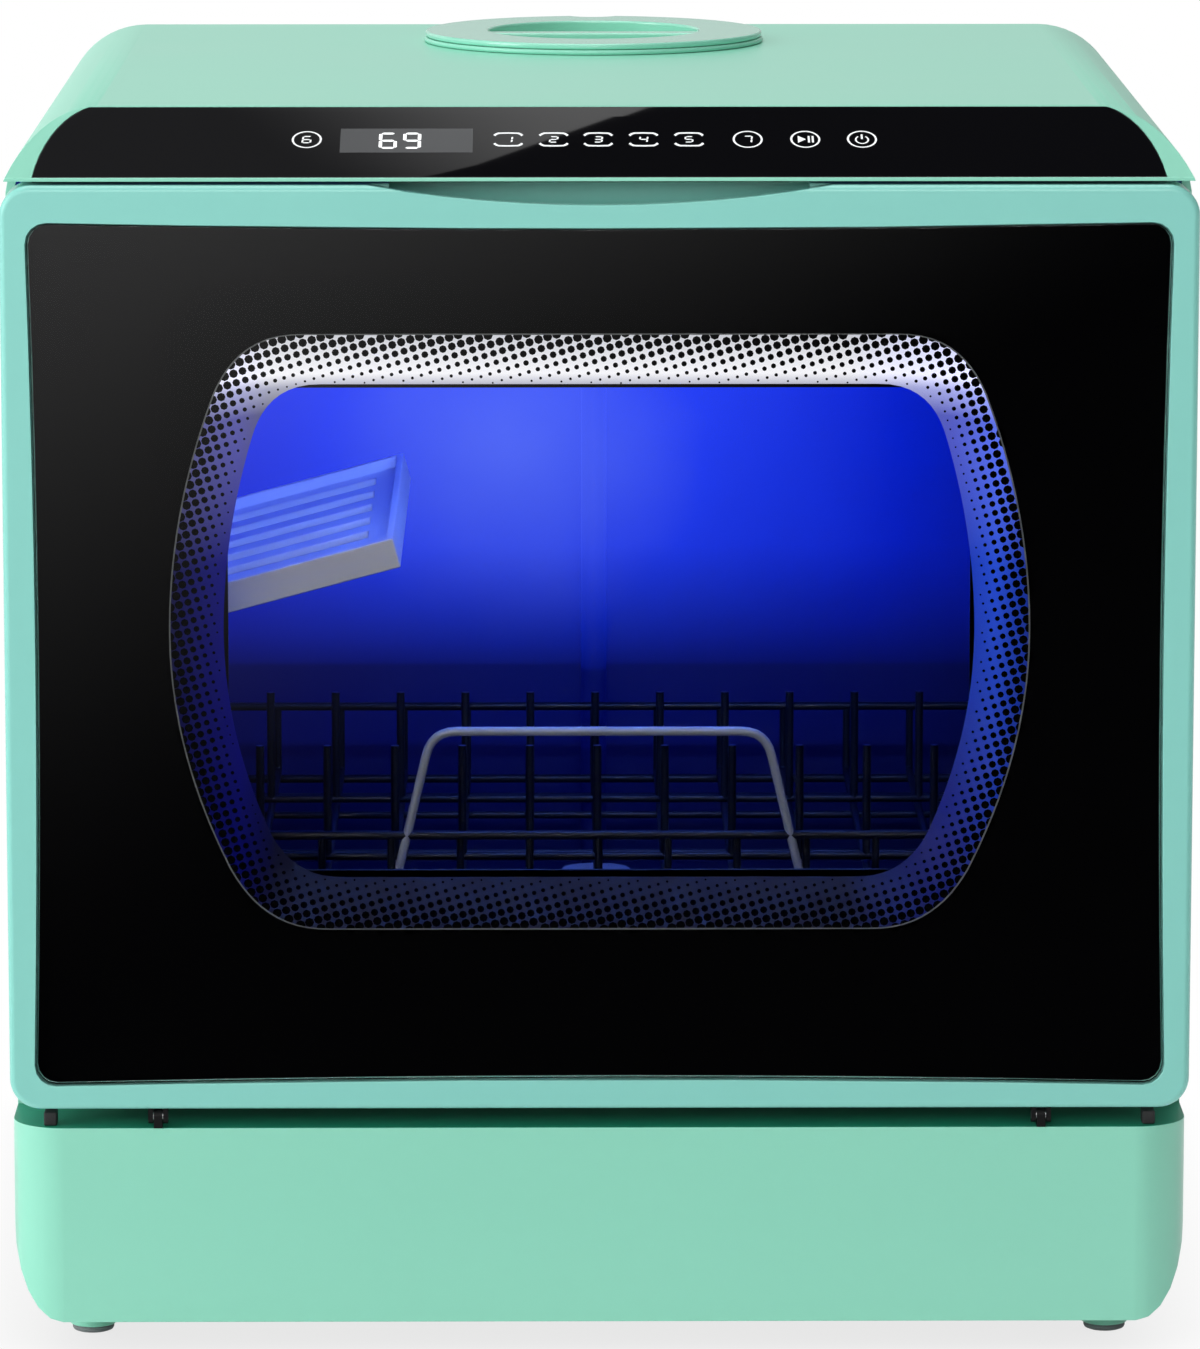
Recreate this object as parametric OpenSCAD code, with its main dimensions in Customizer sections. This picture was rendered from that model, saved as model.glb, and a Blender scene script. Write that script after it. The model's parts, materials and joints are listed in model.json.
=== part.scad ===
// Countertop dishwasher with a window door and a filling port on top.
// Millimetres. +Z is up, the door faces -Y, and the origin is on the floor under the middle.

/* [Case] */
// Width over the case
overall_w = 420; // [400:2:440]
// Depth from the door's face to the ends of the rear ports
overall_d = 425; // [415:1:445]
// Height of the case's flat top
case_top = 441; // [436:1:455]
// Wall of the case and of the base
case_wall = 3; // [2.4:0.1:4]
// Radius of the case's upper side edges
case_corner = 32; // [26:1:38]
// Depth of the sloping control strip
slope_depth = 67; // [60:1:75]
// Height of the slope's lower edge above the hood's underside
nose_h = 1.2; // [1:0.1:2]
// Thickness of the hood under the slope
hood_t = 4; // [3.5:0.1:5]
// Thickness of the back cover
cover_t = 2.5; // [2:0.1:3.5]

/* [Base] */
// Height of the seam between base and case
base_top = 95; // [93:1:100]
// Height of the base's front deck
deck_z = 83; // [80:1:85]
// Height of the base's moulded underside
base_bottom = 12; // [9:1:13]
// Height where the base's sides start to turn in
turn_z = 47; // [40:1:55]
// How far the underside is drawn in
turn_in = 18; // [12:1:22]
// Plan radius of the base's corners
base_corner = 19; // [15:1:24]
// Step from the case's face in to the base's face
base_step = 0.5; // [0.5:0.1:2]
// Diameter of a rubber foot
foot_d = 15; // [12:0.5:18]
// Height of a rubber foot
foot_h = 2.5; // [2:0.1:3.5]
// Half the distance between the feet, across
foot_x = 183; // [170:1:184]
// Half the distance between the feet, front to back
foot_y = 173; // [160:1:176]

/* [Door] */
// Lower edge of the door
door_bottom = 90; // [89:0.5:92]
// Gap between the door and the hood
door_gap = 1.2; // [1:0.1:2]
// Height of the door
door_h = 329.3; // [326:0.1:333]
// Thickness of the door
door_t = 40; // [38:0.5:44]
// Depth of the moulded door frame
frame_t = 20.5; // [19:0.5:22]
// Visible band at the door's sides
side_band = 9.5; // [8:0.5:12]
// Visible band at the door's top
top_band = 13.5; // [13:0.5:16]
// Visible band at the door's foot
foot_band = 9; // [8:0.5:12]
// Thickness of the front glass
glass_t = 4; // [3:0.5:5]
// How far each glass edge bows inwards
glass_bow = 2; // [0:0.5:3]
// Length of the finger scoop's edge
scoop_w = 163; // [140:1:180]
// Depth of the finger scoop's edge
scoop_h = 7; // [5:0.5:8]
// Width of the window
window_w = 302; // [290:1:310]
// Height of the window
window_h = 212; // [200:1:220]
// Height of the window's middle
window_z = 261; // [258:1:266]
// Width of the window's bezel between the front glass and the inner opening
bezel_w = 18; // [14:0.5:20]
// Thickness of the inner pane
pane_t = 3; // [2.5:0.5:4]
// Thickness of the door seal
seal_t = 6.2; // [5:0.1:7]
// Radius of a hinge pin
pin_r = 1.6; // [1.2:0.1:1.8]
// Half the distance between the hinges
hinge_x = 157; // [150:1:165]

/* [Wash chamber] */
// Space between the case's side and the chamber
side_space = 38; // [34:1:42]
// Height of the chamber's floor
tub_floor = 112; // [110:1:116]
// Height of the chamber's roof
tub_roof = 402; // [398:1:405]
// Space behind the chamber for the tank
rear_space = 58; // [55:1:62]
// Sheet thickness of the chamber
tub_wall = 2; // [1.5:0.1:2.5]
// Height of the rack's lowest wires
rack_z = 150; // [148:1:153]
// Height of the rack's rim
rim_z = 179; // [174:1:184]
// Height of the tines
tine_z = 198; // [192:1:220]
// Top of the rack's handle
handle_z = 217; // [210:1:222]
// Half the width of the rack's handle at its top
handle_top = 60; // [55:1:65]
// Half the width of the rack's handle at its foot
handle_foot = 76; // [70:1:80]
// Radius of the rack's wires
wire_r = 1.7; // [1.4:0.1:2]
// Number of gaps between the rack's floor wires and its sides
wire_gaps = 13; // [11:2:15]
// Length of the lower spray arm
arm_l = 262; // [240:2:268]
// Length of the upper spray arm
upper_arm_l = 220; // [200:2:240]
// Length of the cup shelf
shelf_l = 94; // [85:1:100]
// Depth of the cup shelf
shelf_d = 220; // [200:1:230]
// Tilt of the cup shelf
shelf_tilt = 15; // [10:1:18]

/* [Water] */
// Diameter of the filling lid
lid_d = 132; // [124:1:138]
// Diameter of the lid's sunken grip
grip_d = 87; // [80:1:92]
// Depth of the lid's sunken grip
grip_depth = 20; // [15:1:22]
// Distance of the filling port's centre in front of the back of the part
port_front = 92; // [88:1:96]
// Radius of the filter basket
filter_r = 40; // [36:1:42]
// Radius of the pump's impeller
impeller_r = 24; // [20:1:25]
// Radius of the water inlet's end
inlet_r = 13.2; // [12:0.1:14]
// Radius of the drain port
drain_r = 9.5; // [8:0.5:10.5]
// Reach of the rear ports
port_reach = 14.5; // [12:0.5:16]
// Radius of the drying fan
fan_r = 28; // [24:1:30]

/* [Fits] */
// Radial play of a shaft in its bore
shaft_play = 0.06; // [0.03:0.01:0.1]
// Play between fixed pieces
fit = 0.3; // [0.2:0.05:0.5]

/* [Hidden] */
$fn = 64;

mint = [0.60, 0.86, 0.79];
mint_door = [0.62, 0.85, 0.82];
black = [0.06, 0.06, 0.07];
steel = [0.75, 0.77, 0.79];
grey = [0.55, 0.57, 0.60];
pale = [0.85, 0.87, 0.88];
blue = [0.25, 0.35, 0.95];
green = [0.10, 0.45, 0.30];

front_y = -overall_d / 2;
back_y = overall_d / 2 - port_reach;
half_w = overall_w / 2;
door_top = door_bottom + door_h;
door_back = front_y + door_t;
door_half = half_w - 0.5;
frame_back = front_y + frame_t;
hood_z = door_top + door_gap;
hood_front = front_y + 2.5;
hood_floor = 2.3;
case_front = door_back + 1.5;
slope_run = slope_depth - 2.5;
slope_rise = case_top - hood_z - nose_h;
slope_angle = atan(slope_rise / slope_run);
slope_l = slope_run / cos(slope_angle);
flange_y = door_back + fit + seal_t;
tub_half = half_w - side_space;
tub_back = back_y - rear_space;
tub_mid_y = (flange_y + tub_back) / 2;
fill_y = -front_y - port_front;
collar_h = 2;
lid_h = 2.4;
base_y0 = front_y + base_step + 1;
base_y1 = back_y;
pivot_y = base_y0 + 2.4;
pivot_z = (deck_z + door_bottom) / 2 + 0.5;
glass_half = door_half - side_band;
glass_z0 = door_bottom + foot_band;
glass_z1 = door_top - top_band;
pocket_y1 = front_y + frame_t - 3;

// ---- shapes that repeat ----

module y_prism(y0, y1) {
    translate([0, y1, 0]) rotate([90, 0, 0]) linear_extrude(y1 - y0) children();
}

module x_prism(x0, x1) {
    translate([x0, 0, 0]) rotate([90, 0, 90]) linear_extrude(x1 - x0) children();
}

module span_box(x0, x1, y0, y1, z0, z1) {
    translate([x0, y0, z0]) cube([x1 - x0, y1 - y0, z1 - z0]);
}

module x_rod(r, x0, x1, y, z) {
    translate([x0, y, z]) rotate([0, 90, 0]) cylinder(r = r, h = x1 - x0);
}

module y_rod(r, x, y0, y1, z) {
    translate([x, y0, z]) rotate([-90, 0, 0]) cylinder(r = r, h = y1 - y0);
}

module z_rod(r, x, y, z0, z1) {
    translate([x, y, z0]) cylinder(r = r, h = z1 - z0);
}

module round_rect(x0, x1, z0, z1, r) {
    translate([x0 + r, z0]) square([x1 - x0 - 2 * r, z1 - z0]);
    translate([x0, z0 + r]) square([x1 - x0, z1 - z0 - 2 * r]);
    for (x = [x0 + r, x1 - r], z = [z0 + r, z1 - r]) translate([x, z]) circle(r);
}

module arch(half, top, r, foot) {
    translate([-half, foot]) square([2 * half, top - r - foot]);
    translate([-half + r, foot]) square([2 * (half - r), top - foot]);
    for (side = [-1, 1]) translate([side * (half - r), top - r]) circle(r);
}

module mirror_x() {
    children();
    mirror([1, 0, 0]) children();
}

// Outline whose four sides bow inwards between rounded corners
function bow_side(a, b, bow, n) = [for (i = [1 : n - 1])
    let (t = i / n, d = b - a, l = norm(d), s = 4 * bow * t * (1 - t))
    a + d * t + s * [-d[1], d[0]] / l];
function arc(c, r, a0, n) = [for (i = [0 : n]) c + r * [cos(a0 + 90 * i / n), sin(a0 + 90 * i / n)]];
function bow_outline(x, z0, z1, r, bow) = concat(
    arc([x - r, z0 + r], r, -90, 4), bow_side([x, z0 + r], [x, z1 - r], bow, 8),
    arc([x - r, z1 - r], r, 0, 4), bow_side([x - r, z1], [-x + r, z1], bow, 8),
    arc([-x + r, z1 - r], r, 90, 4), bow_side([-x, z1 - r], [-x, z0 + r], bow, 8),
    arc([-x + r, z0 + r], r, 180, 4), bow_side([-x + r, z0], [x - r, z0], bow, 8));

// Straight wire between two points
module wire(a, b, r = wire_r) {
    d = b - a;
    translate(a) rotate([0, acos(d[2] / norm(d)), atan2(d[1], d[0])]) cylinder(r = r, h = norm(d), $fn = 6);
}

// Places children on the hood's slope: X across, Y up the slope, Z out of it
module on_slope() {
    translate([0, hood_front, hood_z + nose_h]) rotate([slope_angle, 0, 0]) children();
}

// ---- case and base ----

hood_in_y = hood_front + (hood_floor - nose_h + hood_t / cos(slope_angle)) / tan(slope_angle);
ceiling_y = hood_front + slope_run + (hood_t / cos(slope_angle) - case_wall) / tan(slope_angle);
panel_t = 2;
panel_half = half_w - 12;
panel_corner = case_corner - 10;

module panel_slab(grow, depth, lift) {
    intersection() {
        on_slope() span_box(-half_w, half_w, 0.7 - grow, slope_l - 1.4 + grow, -depth, lift);
        y_prism(hood_front, hood_front + slope_run)
            arch(panel_half + grow, case_top + grow, panel_corner, hood_z - 5);
    }
}

module outer_case() {
    color(mint) difference() {
        intersection() {
            y_prism(hood_front, back_y) arch(half_w, case_top, case_corner, base_top);
            x_prism(-half_w, half_w) polygon([[back_y, base_top], [back_y, case_top],
                [hood_front + slope_run, case_top], [hood_front, hood_z + nose_h], [hood_front, hood_z],
                [case_front, hood_z], [case_front, base_top]]);
        }
        intersection() {
            y_prism(hood_front, back_y + 1)
                arch(half_w - case_wall, case_top - case_wall, case_corner - case_wall, base_top - 1);
            x_prism(-half_w, half_w) polygon([[back_y + 1, base_top - 1], [back_y + 1, case_top],
                [ceiling_y, case_top], [ceiling_y, case_top - case_wall], [hood_in_y, hood_z + hood_floor],
                [case_front, hood_z + hood_floor], [case_front, base_top - 1]]);
        }
        panel_slab(fit / 2, panel_t + 0.2, 1);
        on_slope() span_box(-96, -40, 20, 48, -hood_t - 3, 0);
        z_rod(grip_d / 2 + 3, 0, fill_y, case_top - case_wall - 1, case_top + 1);
    }
    color(mint) for (p = cover_screw_at) let (side = sign(p[0])) difference() {
        span_box(min(p[0] - side * 6, side * (half_w - case_wall + 1)),
            max(p[0] - side * 6, side * (half_w - case_wall + 1)),
            back_y - 16, back_y - cover_t - 0.5 - fit / 2, p[1] - 6, p[1] + 6);
        y_rod(1.8, p[0], back_y - 12, back_y, p[1]);
    }
}

cover_inset = case_wall + fit;
screw_z0 = base_top + 12;
screw_z1 = case_top - 45;
cover_screw_at = [for (x = [-half_w + 12, half_w - 12], z = [screw_z0, (screw_z0 + screw_z1) / 2, screw_z1]) [x, z]];
fan_x = half_w - 72;
fan_z = case_top - 96;
inlet_x = half_w - 60;
inlet_z = 60;
drain_x = half_w - 110;
gland_x = -half_w + 50;
port_z = 60;

module back_cover() {
    color(mint) difference() {
        y_prism(back_y - cover_t - 0.5, back_y - 0.5) difference() {
            arch(half_w - cover_inset, case_top - cover_inset, case_corner - cover_inset, base_top + fit);
            for (i = [-3 : 3]) translate([fan_x - 22, fan_z + i * 8 - 2]) square([44, 4.4]);
            for (i = [0 : 5], x = [-120, 0]) translate([x - 30, 130 + i * 9]) square([60, 4.4]);
        }
        for (p = cover_screw_at) y_rod(1.8, p[0], back_y - 5, back_y + 1, p[1]);
    }
}

module cover_screws() {
    color(steel) for (p = cover_screw_at) {
        y_rod(1.7, p[0], back_y - 7, back_y - 0.4, p[1]);
        y_rod(3.4, p[0], back_y - 0.4, back_y + 1.4, p[1]);
    }
}

// Profile of a base wall from its turned-in foot up, going from a face inwards by the sign of side
function turned(face, side, draw) = let (h = turn_z - base_bottom - draw, steps = 6) concat(
    [for (i = [0 : steps]) let (t = 90 * i / steps) [face + side * turn_in * (1 - sin(t)), turn_z - h * cos(t)]],
    [[face, base_top + 1]]);

function reversed(list) = [for (i = [len(list) - 1 : -1 : 0]) list[i]];

module base_body(draw, top) {
    x = half_w - base_step - draw;
    intersection() {
        linear_extrude(top) round_rect(-x, x, base_y0 + draw, base_y1 - draw, base_corner - draw / 2);
        y_prism(base_y0, base_y1) polygon(concat(reversed(turned(-x, 1, draw)), turned(x, -1, draw)));
        x_prism(-half_w, half_w) polygon(concat([[base_y0 + draw, base_top + 1], [base_y0 + draw, base_bottom + draw]],
            turned(base_y1 - draw, -1, draw)));
    }
}

module base_tray() {
    riser_y = flange_y + tub_wall + 1;
    color(mint) difference() {
        base_body(0, base_top);
        difference() {
            base_body(case_wall, base_top + 1);
            span_box(-half_w, half_w, front_y, riser_y, deck_z - case_wall, base_top + 2);
        }
        span_box(-half_w, half_w, front_y - 1, case_front, deck_z, base_top + 1);
        y_rod(inlet_r + shoulder + fit, inlet_x, back_y - 8, back_y + 1, inlet_z);
        y_rod(drain_r + shoulder + fit, drain_x, back_y - 8, back_y + 1, port_z);
        y_rod(8 + fit, gland_x, back_y - 8, back_y + 1, port_z);
    }
    color(mint) for (x = [-foot_x, foot_x], y = [-foot_y, foot_y])
        z_rod(foot_d / 2 + 0.8, x, y, foot_h, base_bottom + 6);
    color(mint) for (x = [-foot_x + 19.5, foot_x - 19.5]) z_rod(10.4, x, -foot_y, base_bottom - 2, base_bottom + 2);
}

module rubber_feet() {
    color(grey) for (x = [-foot_x, foot_x], y = [-foot_y, foot_y]) z_rod(foot_d / 2, x, y, 0, foot_h);
}

bumper_x = half_w - base_step - 14;

module door_bumpers() {
    color(black) for (x = [-bumper_x, bumper_x])
        span_box(x - 2.3, x + 2.3, pivot_y + 1, pivot_y + 9, deck_z, door_bottom - 2);
}

module power_gland() {
    color(black) difference() {
        union() {
            y_rod(8, gland_x, back_y - 12, back_y + 8, port_z);
            y_rod(11, gland_x, back_y + 0.1, back_y + 3, port_z);
            y_rod(11, gland_x, back_y - 12, back_y - case_wall - 0.3, port_z);
        }
        y_rod(3.6, gland_x, back_y - 13, back_y + 9, port_z);
    }
}

// ---- controls ----

module control_panel() {
    color(black) panel_slab(0, panel_t, 0);
}

module display_module() {
    color(pale) on_slope() span_box(-95, -41, 21, 47, -hood_t - 2.5, -panel_t - 0.4);
}

module control_board() {
    color(green) on_slope() {
        span_box(-120, 110, 44, 62, -hood_t - 4.6, -hood_t - 3);
        for (i = [0 : 7]) span_box(-30 + i * 17, -24 + i * 17, 48, 56, -hood_t - 3.1, -hood_t - 0.2);
    }
}

// ---- door ----

scoop_r = (pow(scoop_w / 2, 2) + pow(scoop_h, 2)) / (2 * scoop_h);

module door_frame() {
    color(mint_door) difference() {
        y_prism(front_y, frame_back) round_rect(-door_half, door_half, door_bottom, door_top, 11);
        y_prism(front_y - 1, front_y + glass_t + 1.5)
            polygon(bow_outline(glass_half + 0.5, glass_z0 - 0.5, glass_z1 + 0.5, 7.5, glass_bow));
        y_prism(front_y, frame_back + 1)
            round_rect(-glass_half + 6, glass_half - 6, glass_z0 + 7, glass_z1 - 8, 4);
        y_prism(front_y - 1, front_y + 8) intersection() {
            translate([0, door_top - scoop_h + scoop_r]) circle(scoop_r, $fn = 180);
            translate([-scoop_w / 2, door_top - scoop_h]) square([scoop_w, scoop_h + 1]);
        }
        span_box(-scoop_w / 2 + 8, scoop_w / 2 - 8, front_y + glass_t + 2, pocket_y1,
            glass_z1 - 0.5, door_top + 1);
    }
}

module door_glass() {
    color(black) y_prism(front_y + 1, front_y + 1 + glass_t)
        polygon(bow_outline(glass_half, glass_z0, glass_z1, 7, glass_bow));
}

liner_half = door_half - 6;
liner_z0 = door_bottom + 3;
liner_z1 = door_top - 3.5;
liner_t = 2.5;
window_x = window_w / 2 - bezel_w;
window_z0 = window_z - window_h / 2 + bezel_w - 4;
window_z1 = window_z + window_h / 2 - bezel_w - 4;
pane_y = door_back - liner_t - 2 - pane_t;

module door_liner() {
    color(pale) difference() {
        y_prism(frame_back, door_back) round_rect(-liner_half, liner_half, liner_z0, liner_z1, 8);
        y_prism(frame_back - 1, door_back - liner_t)
            round_rect(-liner_half + 2, liner_half - 2, liner_z0 + 2, liner_z1 - 2, 6);
        y_prism(frame_back, door_back + 1) round_rect(-window_x, window_x, window_z0, window_z1, 20);
        span_box(-cup_half, cup_half, frame_back, door_back + 1, cup_z0, cup_z1);
    }
}

module window_bezel() {
    bezel_y0 = front_y + 1 + glass_t + fit;
    bezel_y1 = pane_y - fit;
    half = window_w / 2;
    low = window_z - window_h / 2;
    high = window_z + window_h / 2;
    color(pale) difference() {
        y_prism(bezel_y0, bezel_y1) round_rect(-half - 2.5, half + 2.5, low - 2.5, high + 2.5, 24);
        hull() {
            y_prism(bezel_y0 - 1, bezel_y0) round_rect(-half, half, low, high, 22, $fn = 32);
            y_prism(bezel_y1, bezel_y1 + 1)
                round_rect(-window_x, window_x, window_z0, window_z1, 20, $fn = 32);
        }
    }
}

module inner_window() {
    color(pale) y_prism(pane_y, pane_y + pane_t)
        round_rect(-window_x - 8, window_x + 8, window_z0 - 8, window_z1 + 8, 32);
}

module window_gasket() {
    color(black) y_prism(pane_y + pane_t, door_back - liner_t) difference() {
        round_rect(-window_x - 8, window_x + 8, window_z0 - 8, window_z1 + 8, 32);
        round_rect(-window_x + 1, window_x - 1, window_z0 + 1, window_z1 - 1, 25);
    }
}

eye_r = door_bottom - pivot_z - fit;
tongue_w = 3;
cheek_w = 1.7;

module hinge_eye(x0, x1, z_far) {
    difference() {
        union() {
            x_rod(eye_r, x0, x1, pivot_y, pivot_z);
            span_box(x0, x1, pivot_y - eye_r, pivot_y + eye_r, min(pivot_z, z_far), max(pivot_z, z_far));
        }
        x_rod(pin_r + shaft_play, x0 - 1, x1 + 1, pivot_y, pivot_z);
    }
}

module hinge_brackets() {
    color(black) mirror_x() hinge_eye(hinge_x - tongue_w / 2, hinge_x + tongue_w / 2, deck_z);
}

module door_clevises() {
    inner = tongue_w / 2 + fit;
    color(black) mirror_x() {
        hinge_eye(hinge_x + inner, hinge_x + inner + cheek_w, door_bottom);
        hinge_eye(hinge_x - inner - cheek_w, hinge_x - inner, door_bottom);
    }
}

module hinge_pins() {
    reach = tongue_w / 2 + fit + cheek_w;
    color(steel) mirror_x() x_rod(pin_r, hinge_x - reach, hinge_x + reach, pivot_y, pivot_z);
}

tongue_z = liner_z1 - 4;
tongue_t = 2.5;
tongue_l = 22;
lock_z0 = tub_roof + tub_wall + 0.1;
lock_y0 = flange_y + tub_wall + 0.1;
lever_y = door_back + tongue_l + 13;
lever_z = lock_z0 + 4.5;
lever_pin_r = 1.2;

module latch_tongue() {
    color(pale) span_box(-5, 5, door_back, door_back + tongue_l, tongue_z, tongue_z + tongue_t);
    color(pale) span_box(-12, 12, door_back, door_back + 1.5, tongue_z - 0.5, tongue_z + tongue_t + 0.8);
}

module door_lock() {
    color(black) difference() {
        span_box(-16, 16, lock_y0, lever_y + 8, lock_z0, lock_z0 + 18);
        span_box(-7, 7, lock_y0 - 1, door_back + tongue_l + 3, tongue_z - 1.2, tongue_z + tongue_t + 4.5);
        span_box(-6, 6, door_back + tongue_l - 4, lever_y + 4, lock_z0 + 1, tongue_z - 1);
        x_rod(lever_pin_r + shaft_play, -12, 12, lever_y, lever_z);
    }
}

module latch_lever() {
    nose_y = door_back + tongue_l - 1;
    color(pale) {
        x_rod(lever_pin_r, -11.8, 11.8, lever_y, lever_z);
        span_box(-5, 5, nose_y, lever_y, lever_z - 0.4, lever_z + 0.8);
        span_box(-5, 5, nose_y, nose_y + 2, lever_z, tongue_z - fit);
    }
}

cup_half = 40;
cup_z0 = 114;
cup_z1 = window_z - window_h / 2 - 9;
cup_y = door_back - 16;

module detergent_cup() {
    color(pale) difference() {
        span_box(-cup_half + fit, cup_half - fit, cup_y, door_back + 0.2, cup_z0 + fit, cup_z1 - fit);
        span_box(-cup_half + 4, cup_half - 6, cup_y + 1.5, door_back + 1, cup_z0 + 4, cup_z1 - 4);
    }
    color(pale) for (z = [cup_z0 - 1.5, cup_z1 - 1.5])
        span_box(-cup_half, cup_half, door_back, door_back + 4, z, z + 3);
}

module detergent_lid() {
    color(steel) {
        span_box(-cup_half + 1, cup_half - 1, door_back + fit + 0.2, door_back + 2.2,
            cup_z0 + 1.5 + fit, cup_z1 - 1.5 - fit);
        span_box(cup_half - 16, cup_half - 10, door_back + 2.1, door_back + 4.5, cup_z0 + 8, cup_z1 - 8);
    }
}

// ---- wash chamber ----

module door_seal() {
    color(black) y_prism(door_back + fit, flange_y) difference() {
        round_rect(-tub_half - 12, tub_half + 12, tub_floor - 9, tub_roof + 8.5, 16);
        round_rect(-tub_half - 4, tub_half + 4, tub_floor - 1, tub_roof + 1, 10);
    }
}

hub_y = tub_mid_y - 4;
sump_y = hub_y - 75;

module tub() {
    color(steel) difference() {
        union() {
            y_prism(flange_y, tub_back)
                round_rect(-tub_half, tub_half, tub_floor - tub_wall, tub_roof + tub_wall, 12);
            y_prism(flange_y, flange_y + tub_wall)
                round_rect(-half_w + case_wall + 2, half_w - case_wall - 2, base_top + fit, hood_z - 1, 8);
        }
        y_prism(flange_y - 1, tub_back - tub_wall)
            round_rect(-tub_half + tub_wall, tub_half - tub_wall, tub_floor, tub_roof, 10);
        z_rod(filter_r + 3, 0, sump_y, tub_floor - 5, tub_floor + 1);
        z_rod(9 + fit, 0, hub_y, tub_floor - 5, tub_floor + 1);
        z_rod(5 + fit, 0, feed_y, tub_floor - 5, tub_floor + 1);
        span_box(-14, 14, flange_y - 1, flange_y + tub_wall + 1, tongue_z - 1, tongue_z + tongue_t + 4.5);
        for (x = [-70, 70]) span_box(x - 40 - fit, x + 40 + fit, flange_y + 22, flange_y + 34,
            tub_roof - 1, tub_roof + 3);
        y_rod(14, fan_x - 20, tub_back - 4, tub_back + 1, fan_z);
    }
}

rail_top = rack_z - wire_r - fit;

module rack_rails() {
    color(pale) mirror_x() {
        span_box(tub_half - tub_wall - 14, tub_half - tub_wall, flange_y + 12, tub_back - 22,
            rail_top - 3, rail_top);
        span_box(tub_half - tub_wall - 3, tub_half - tub_wall, flange_y + 12, tub_back - 22,
            rail_top - 0.5, rail_top + 7);
    }
}

rack_half = tub_half - tub_wall - 8;
rack_y0 = flange_y + 8;
rack_y1 = tub_back - 26;
cross_n = 7;
cross_wires = [for (i = [0 : cross_n]) rack_y0 + (rack_y1 - rack_y0) * i / cross_n];
wire_pitch = 2 * rack_half / wire_gaps;
long_wires = [for (i = [-(wire_gaps - 1) / 2 : (wire_gaps - 1) / 2]) i * wire_pitch];
long_z = rack_z + wire_r * 1.7;
weld = 0.1;

module rack_floor() {
    reach = rack_half - wire_r - weld;
    color(steel) {
        for (y = [for (i = [1 : cross_n - 1]) cross_wires[i]]) wire([-reach, y, rack_z], [reach, y, rack_z]);
        for (x = long_wires)
            wire([x, rack_y0 + wire_r + weld, long_z], [x, rack_y1 - wire_r - weld, long_z]);
    }
}

module rack_end(y) {
    reach = rack_half - wire_r - weld;
    for (z = [rack_z, rim_z]) wire([-reach, y, z], [reach, y, z]);
    for (x = long_wires) wire([x, y, rack_z], [x, y, rim_z]);
}

module rack_frame() {
    color(steel) {
        for (y = [rack_y0, rack_y1]) rack_end(y);
        for (side = [-1, 1]) {
            wire([side * handle_foot, rack_y0, rack_z], [side * handle_top, rack_y0, handle_z]);
            wire([side * handle_top, rack_y0, handle_z], [0, rack_y0, handle_z]);
        }
        for (x = [-rack_half, rack_half]) {
            for (z = [rack_z, rim_z]) wire([x, rack_y0, z], [x, rack_y1, z]);
            for (y = cross_wires) wire([x, y, rack_z], [x, y, rim_z]);
        }
    }
}

module rack_tines() {
    foot_z = long_z + 2 * wire_r + weld;
    color(steel) for (y = [cross_wires[2], cross_wires[5]]) {
        wire([long_wires[0], y, foot_z], [-long_wires[0], y, foot_z]);
        for (x = long_wires) wire([x, y, foot_z], [x, y, tine_z]);
    }
}

shelf_x = -tub_half + tub_wall + 7;
shelf_z = 256;
shelf_y0 = flange_y + 16;
shelf_pin_r = 2.5;

module cup_shelf() {
    color(pale) translate([shelf_x, 0, shelf_z]) rotate([0, -shelf_tilt, 0]) difference() {
        union() {
            y_rod(shelf_pin_r + 2, 0, shelf_y0, shelf_y0 + shelf_d, 0);
            span_box(0, shelf_l, shelf_y0, shelf_y0 + shelf_d, -1.5, 1.5);
            for (y = [shelf_y0, shelf_y0 + shelf_d - 3]) span_box(6, shelf_l, y, y + 3, -5, 6);
            span_box(shelf_l - 3, shelf_l, shelf_y0, shelf_y0 + shelf_d, -5, 6);
        }
        y_rod(shelf_pin_r + shaft_play, 0, shelf_y0 - 1, shelf_y0 + shelf_d + 1, 0);
        for (i = [0 : 5]) span_box(14, shelf_l - 12, shelf_y0 + 16 + i * 34, shelf_y0 + 34 + i * 34, -3, 3);
    }
}

module shelf_bracket() {
    color(pale) {
        y_rod(shelf_pin_r, shelf_x, shelf_y0 - 4, shelf_y0 + shelf_d + 4, shelf_z);
        for (y = [shelf_y0 - 4, shelf_y0 + shelf_d + fit])
            span_box(-tub_half + tub_wall, shelf_x + 3, y, y + 4 - fit, shelf_z - 5, shelf_z + 5);
    }
}

arm_z = 130;
feed_y = tub_back - 12;

module spray_bar(length, width, z, h, hub_r, bore_r) {
    color(pale) translate([0, hub_y, 0]) difference() {
        union() {
            span_box(-length / 2 + width / 2, length / 2 - width / 2, -width / 2, width / 2, z, z + h);
            for (side = [-1, 1]) z_rod(width / 2, side * (length - width) / 2, 0, z, z + h);
            z_rod(hub_r, 0, 0, z - 3, z + h + 3);
        }
        z_rod(bore_r, 0, 0, z - 5, z + h + 5);
        for (i = [1 : 3], side = [-1, 1]) z_rod(1.6, side * i * length / 7.2, 0, z - 1, z + h + 1);
    }
}

module lower_spray_arm() {
    spray_bar(arm_l, 30, arm_z - 6, 9, 15, 9 + shaft_play);
}

module lower_arm_hub() {
    color(grey) difference() {
        union() {
            z_rod(9, 0, hub_y, 96, arm_z + 7);
            z_rod(14, 0, hub_y, tub_floor, arm_z - 9.3);
            z_rod(13, 0, hub_y, arm_z + 6.4, arm_z + 9);
        }
        z_rod(5, 0, hub_y, 95, arm_z + 4);
    }
}

upper_z = 384;

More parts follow.
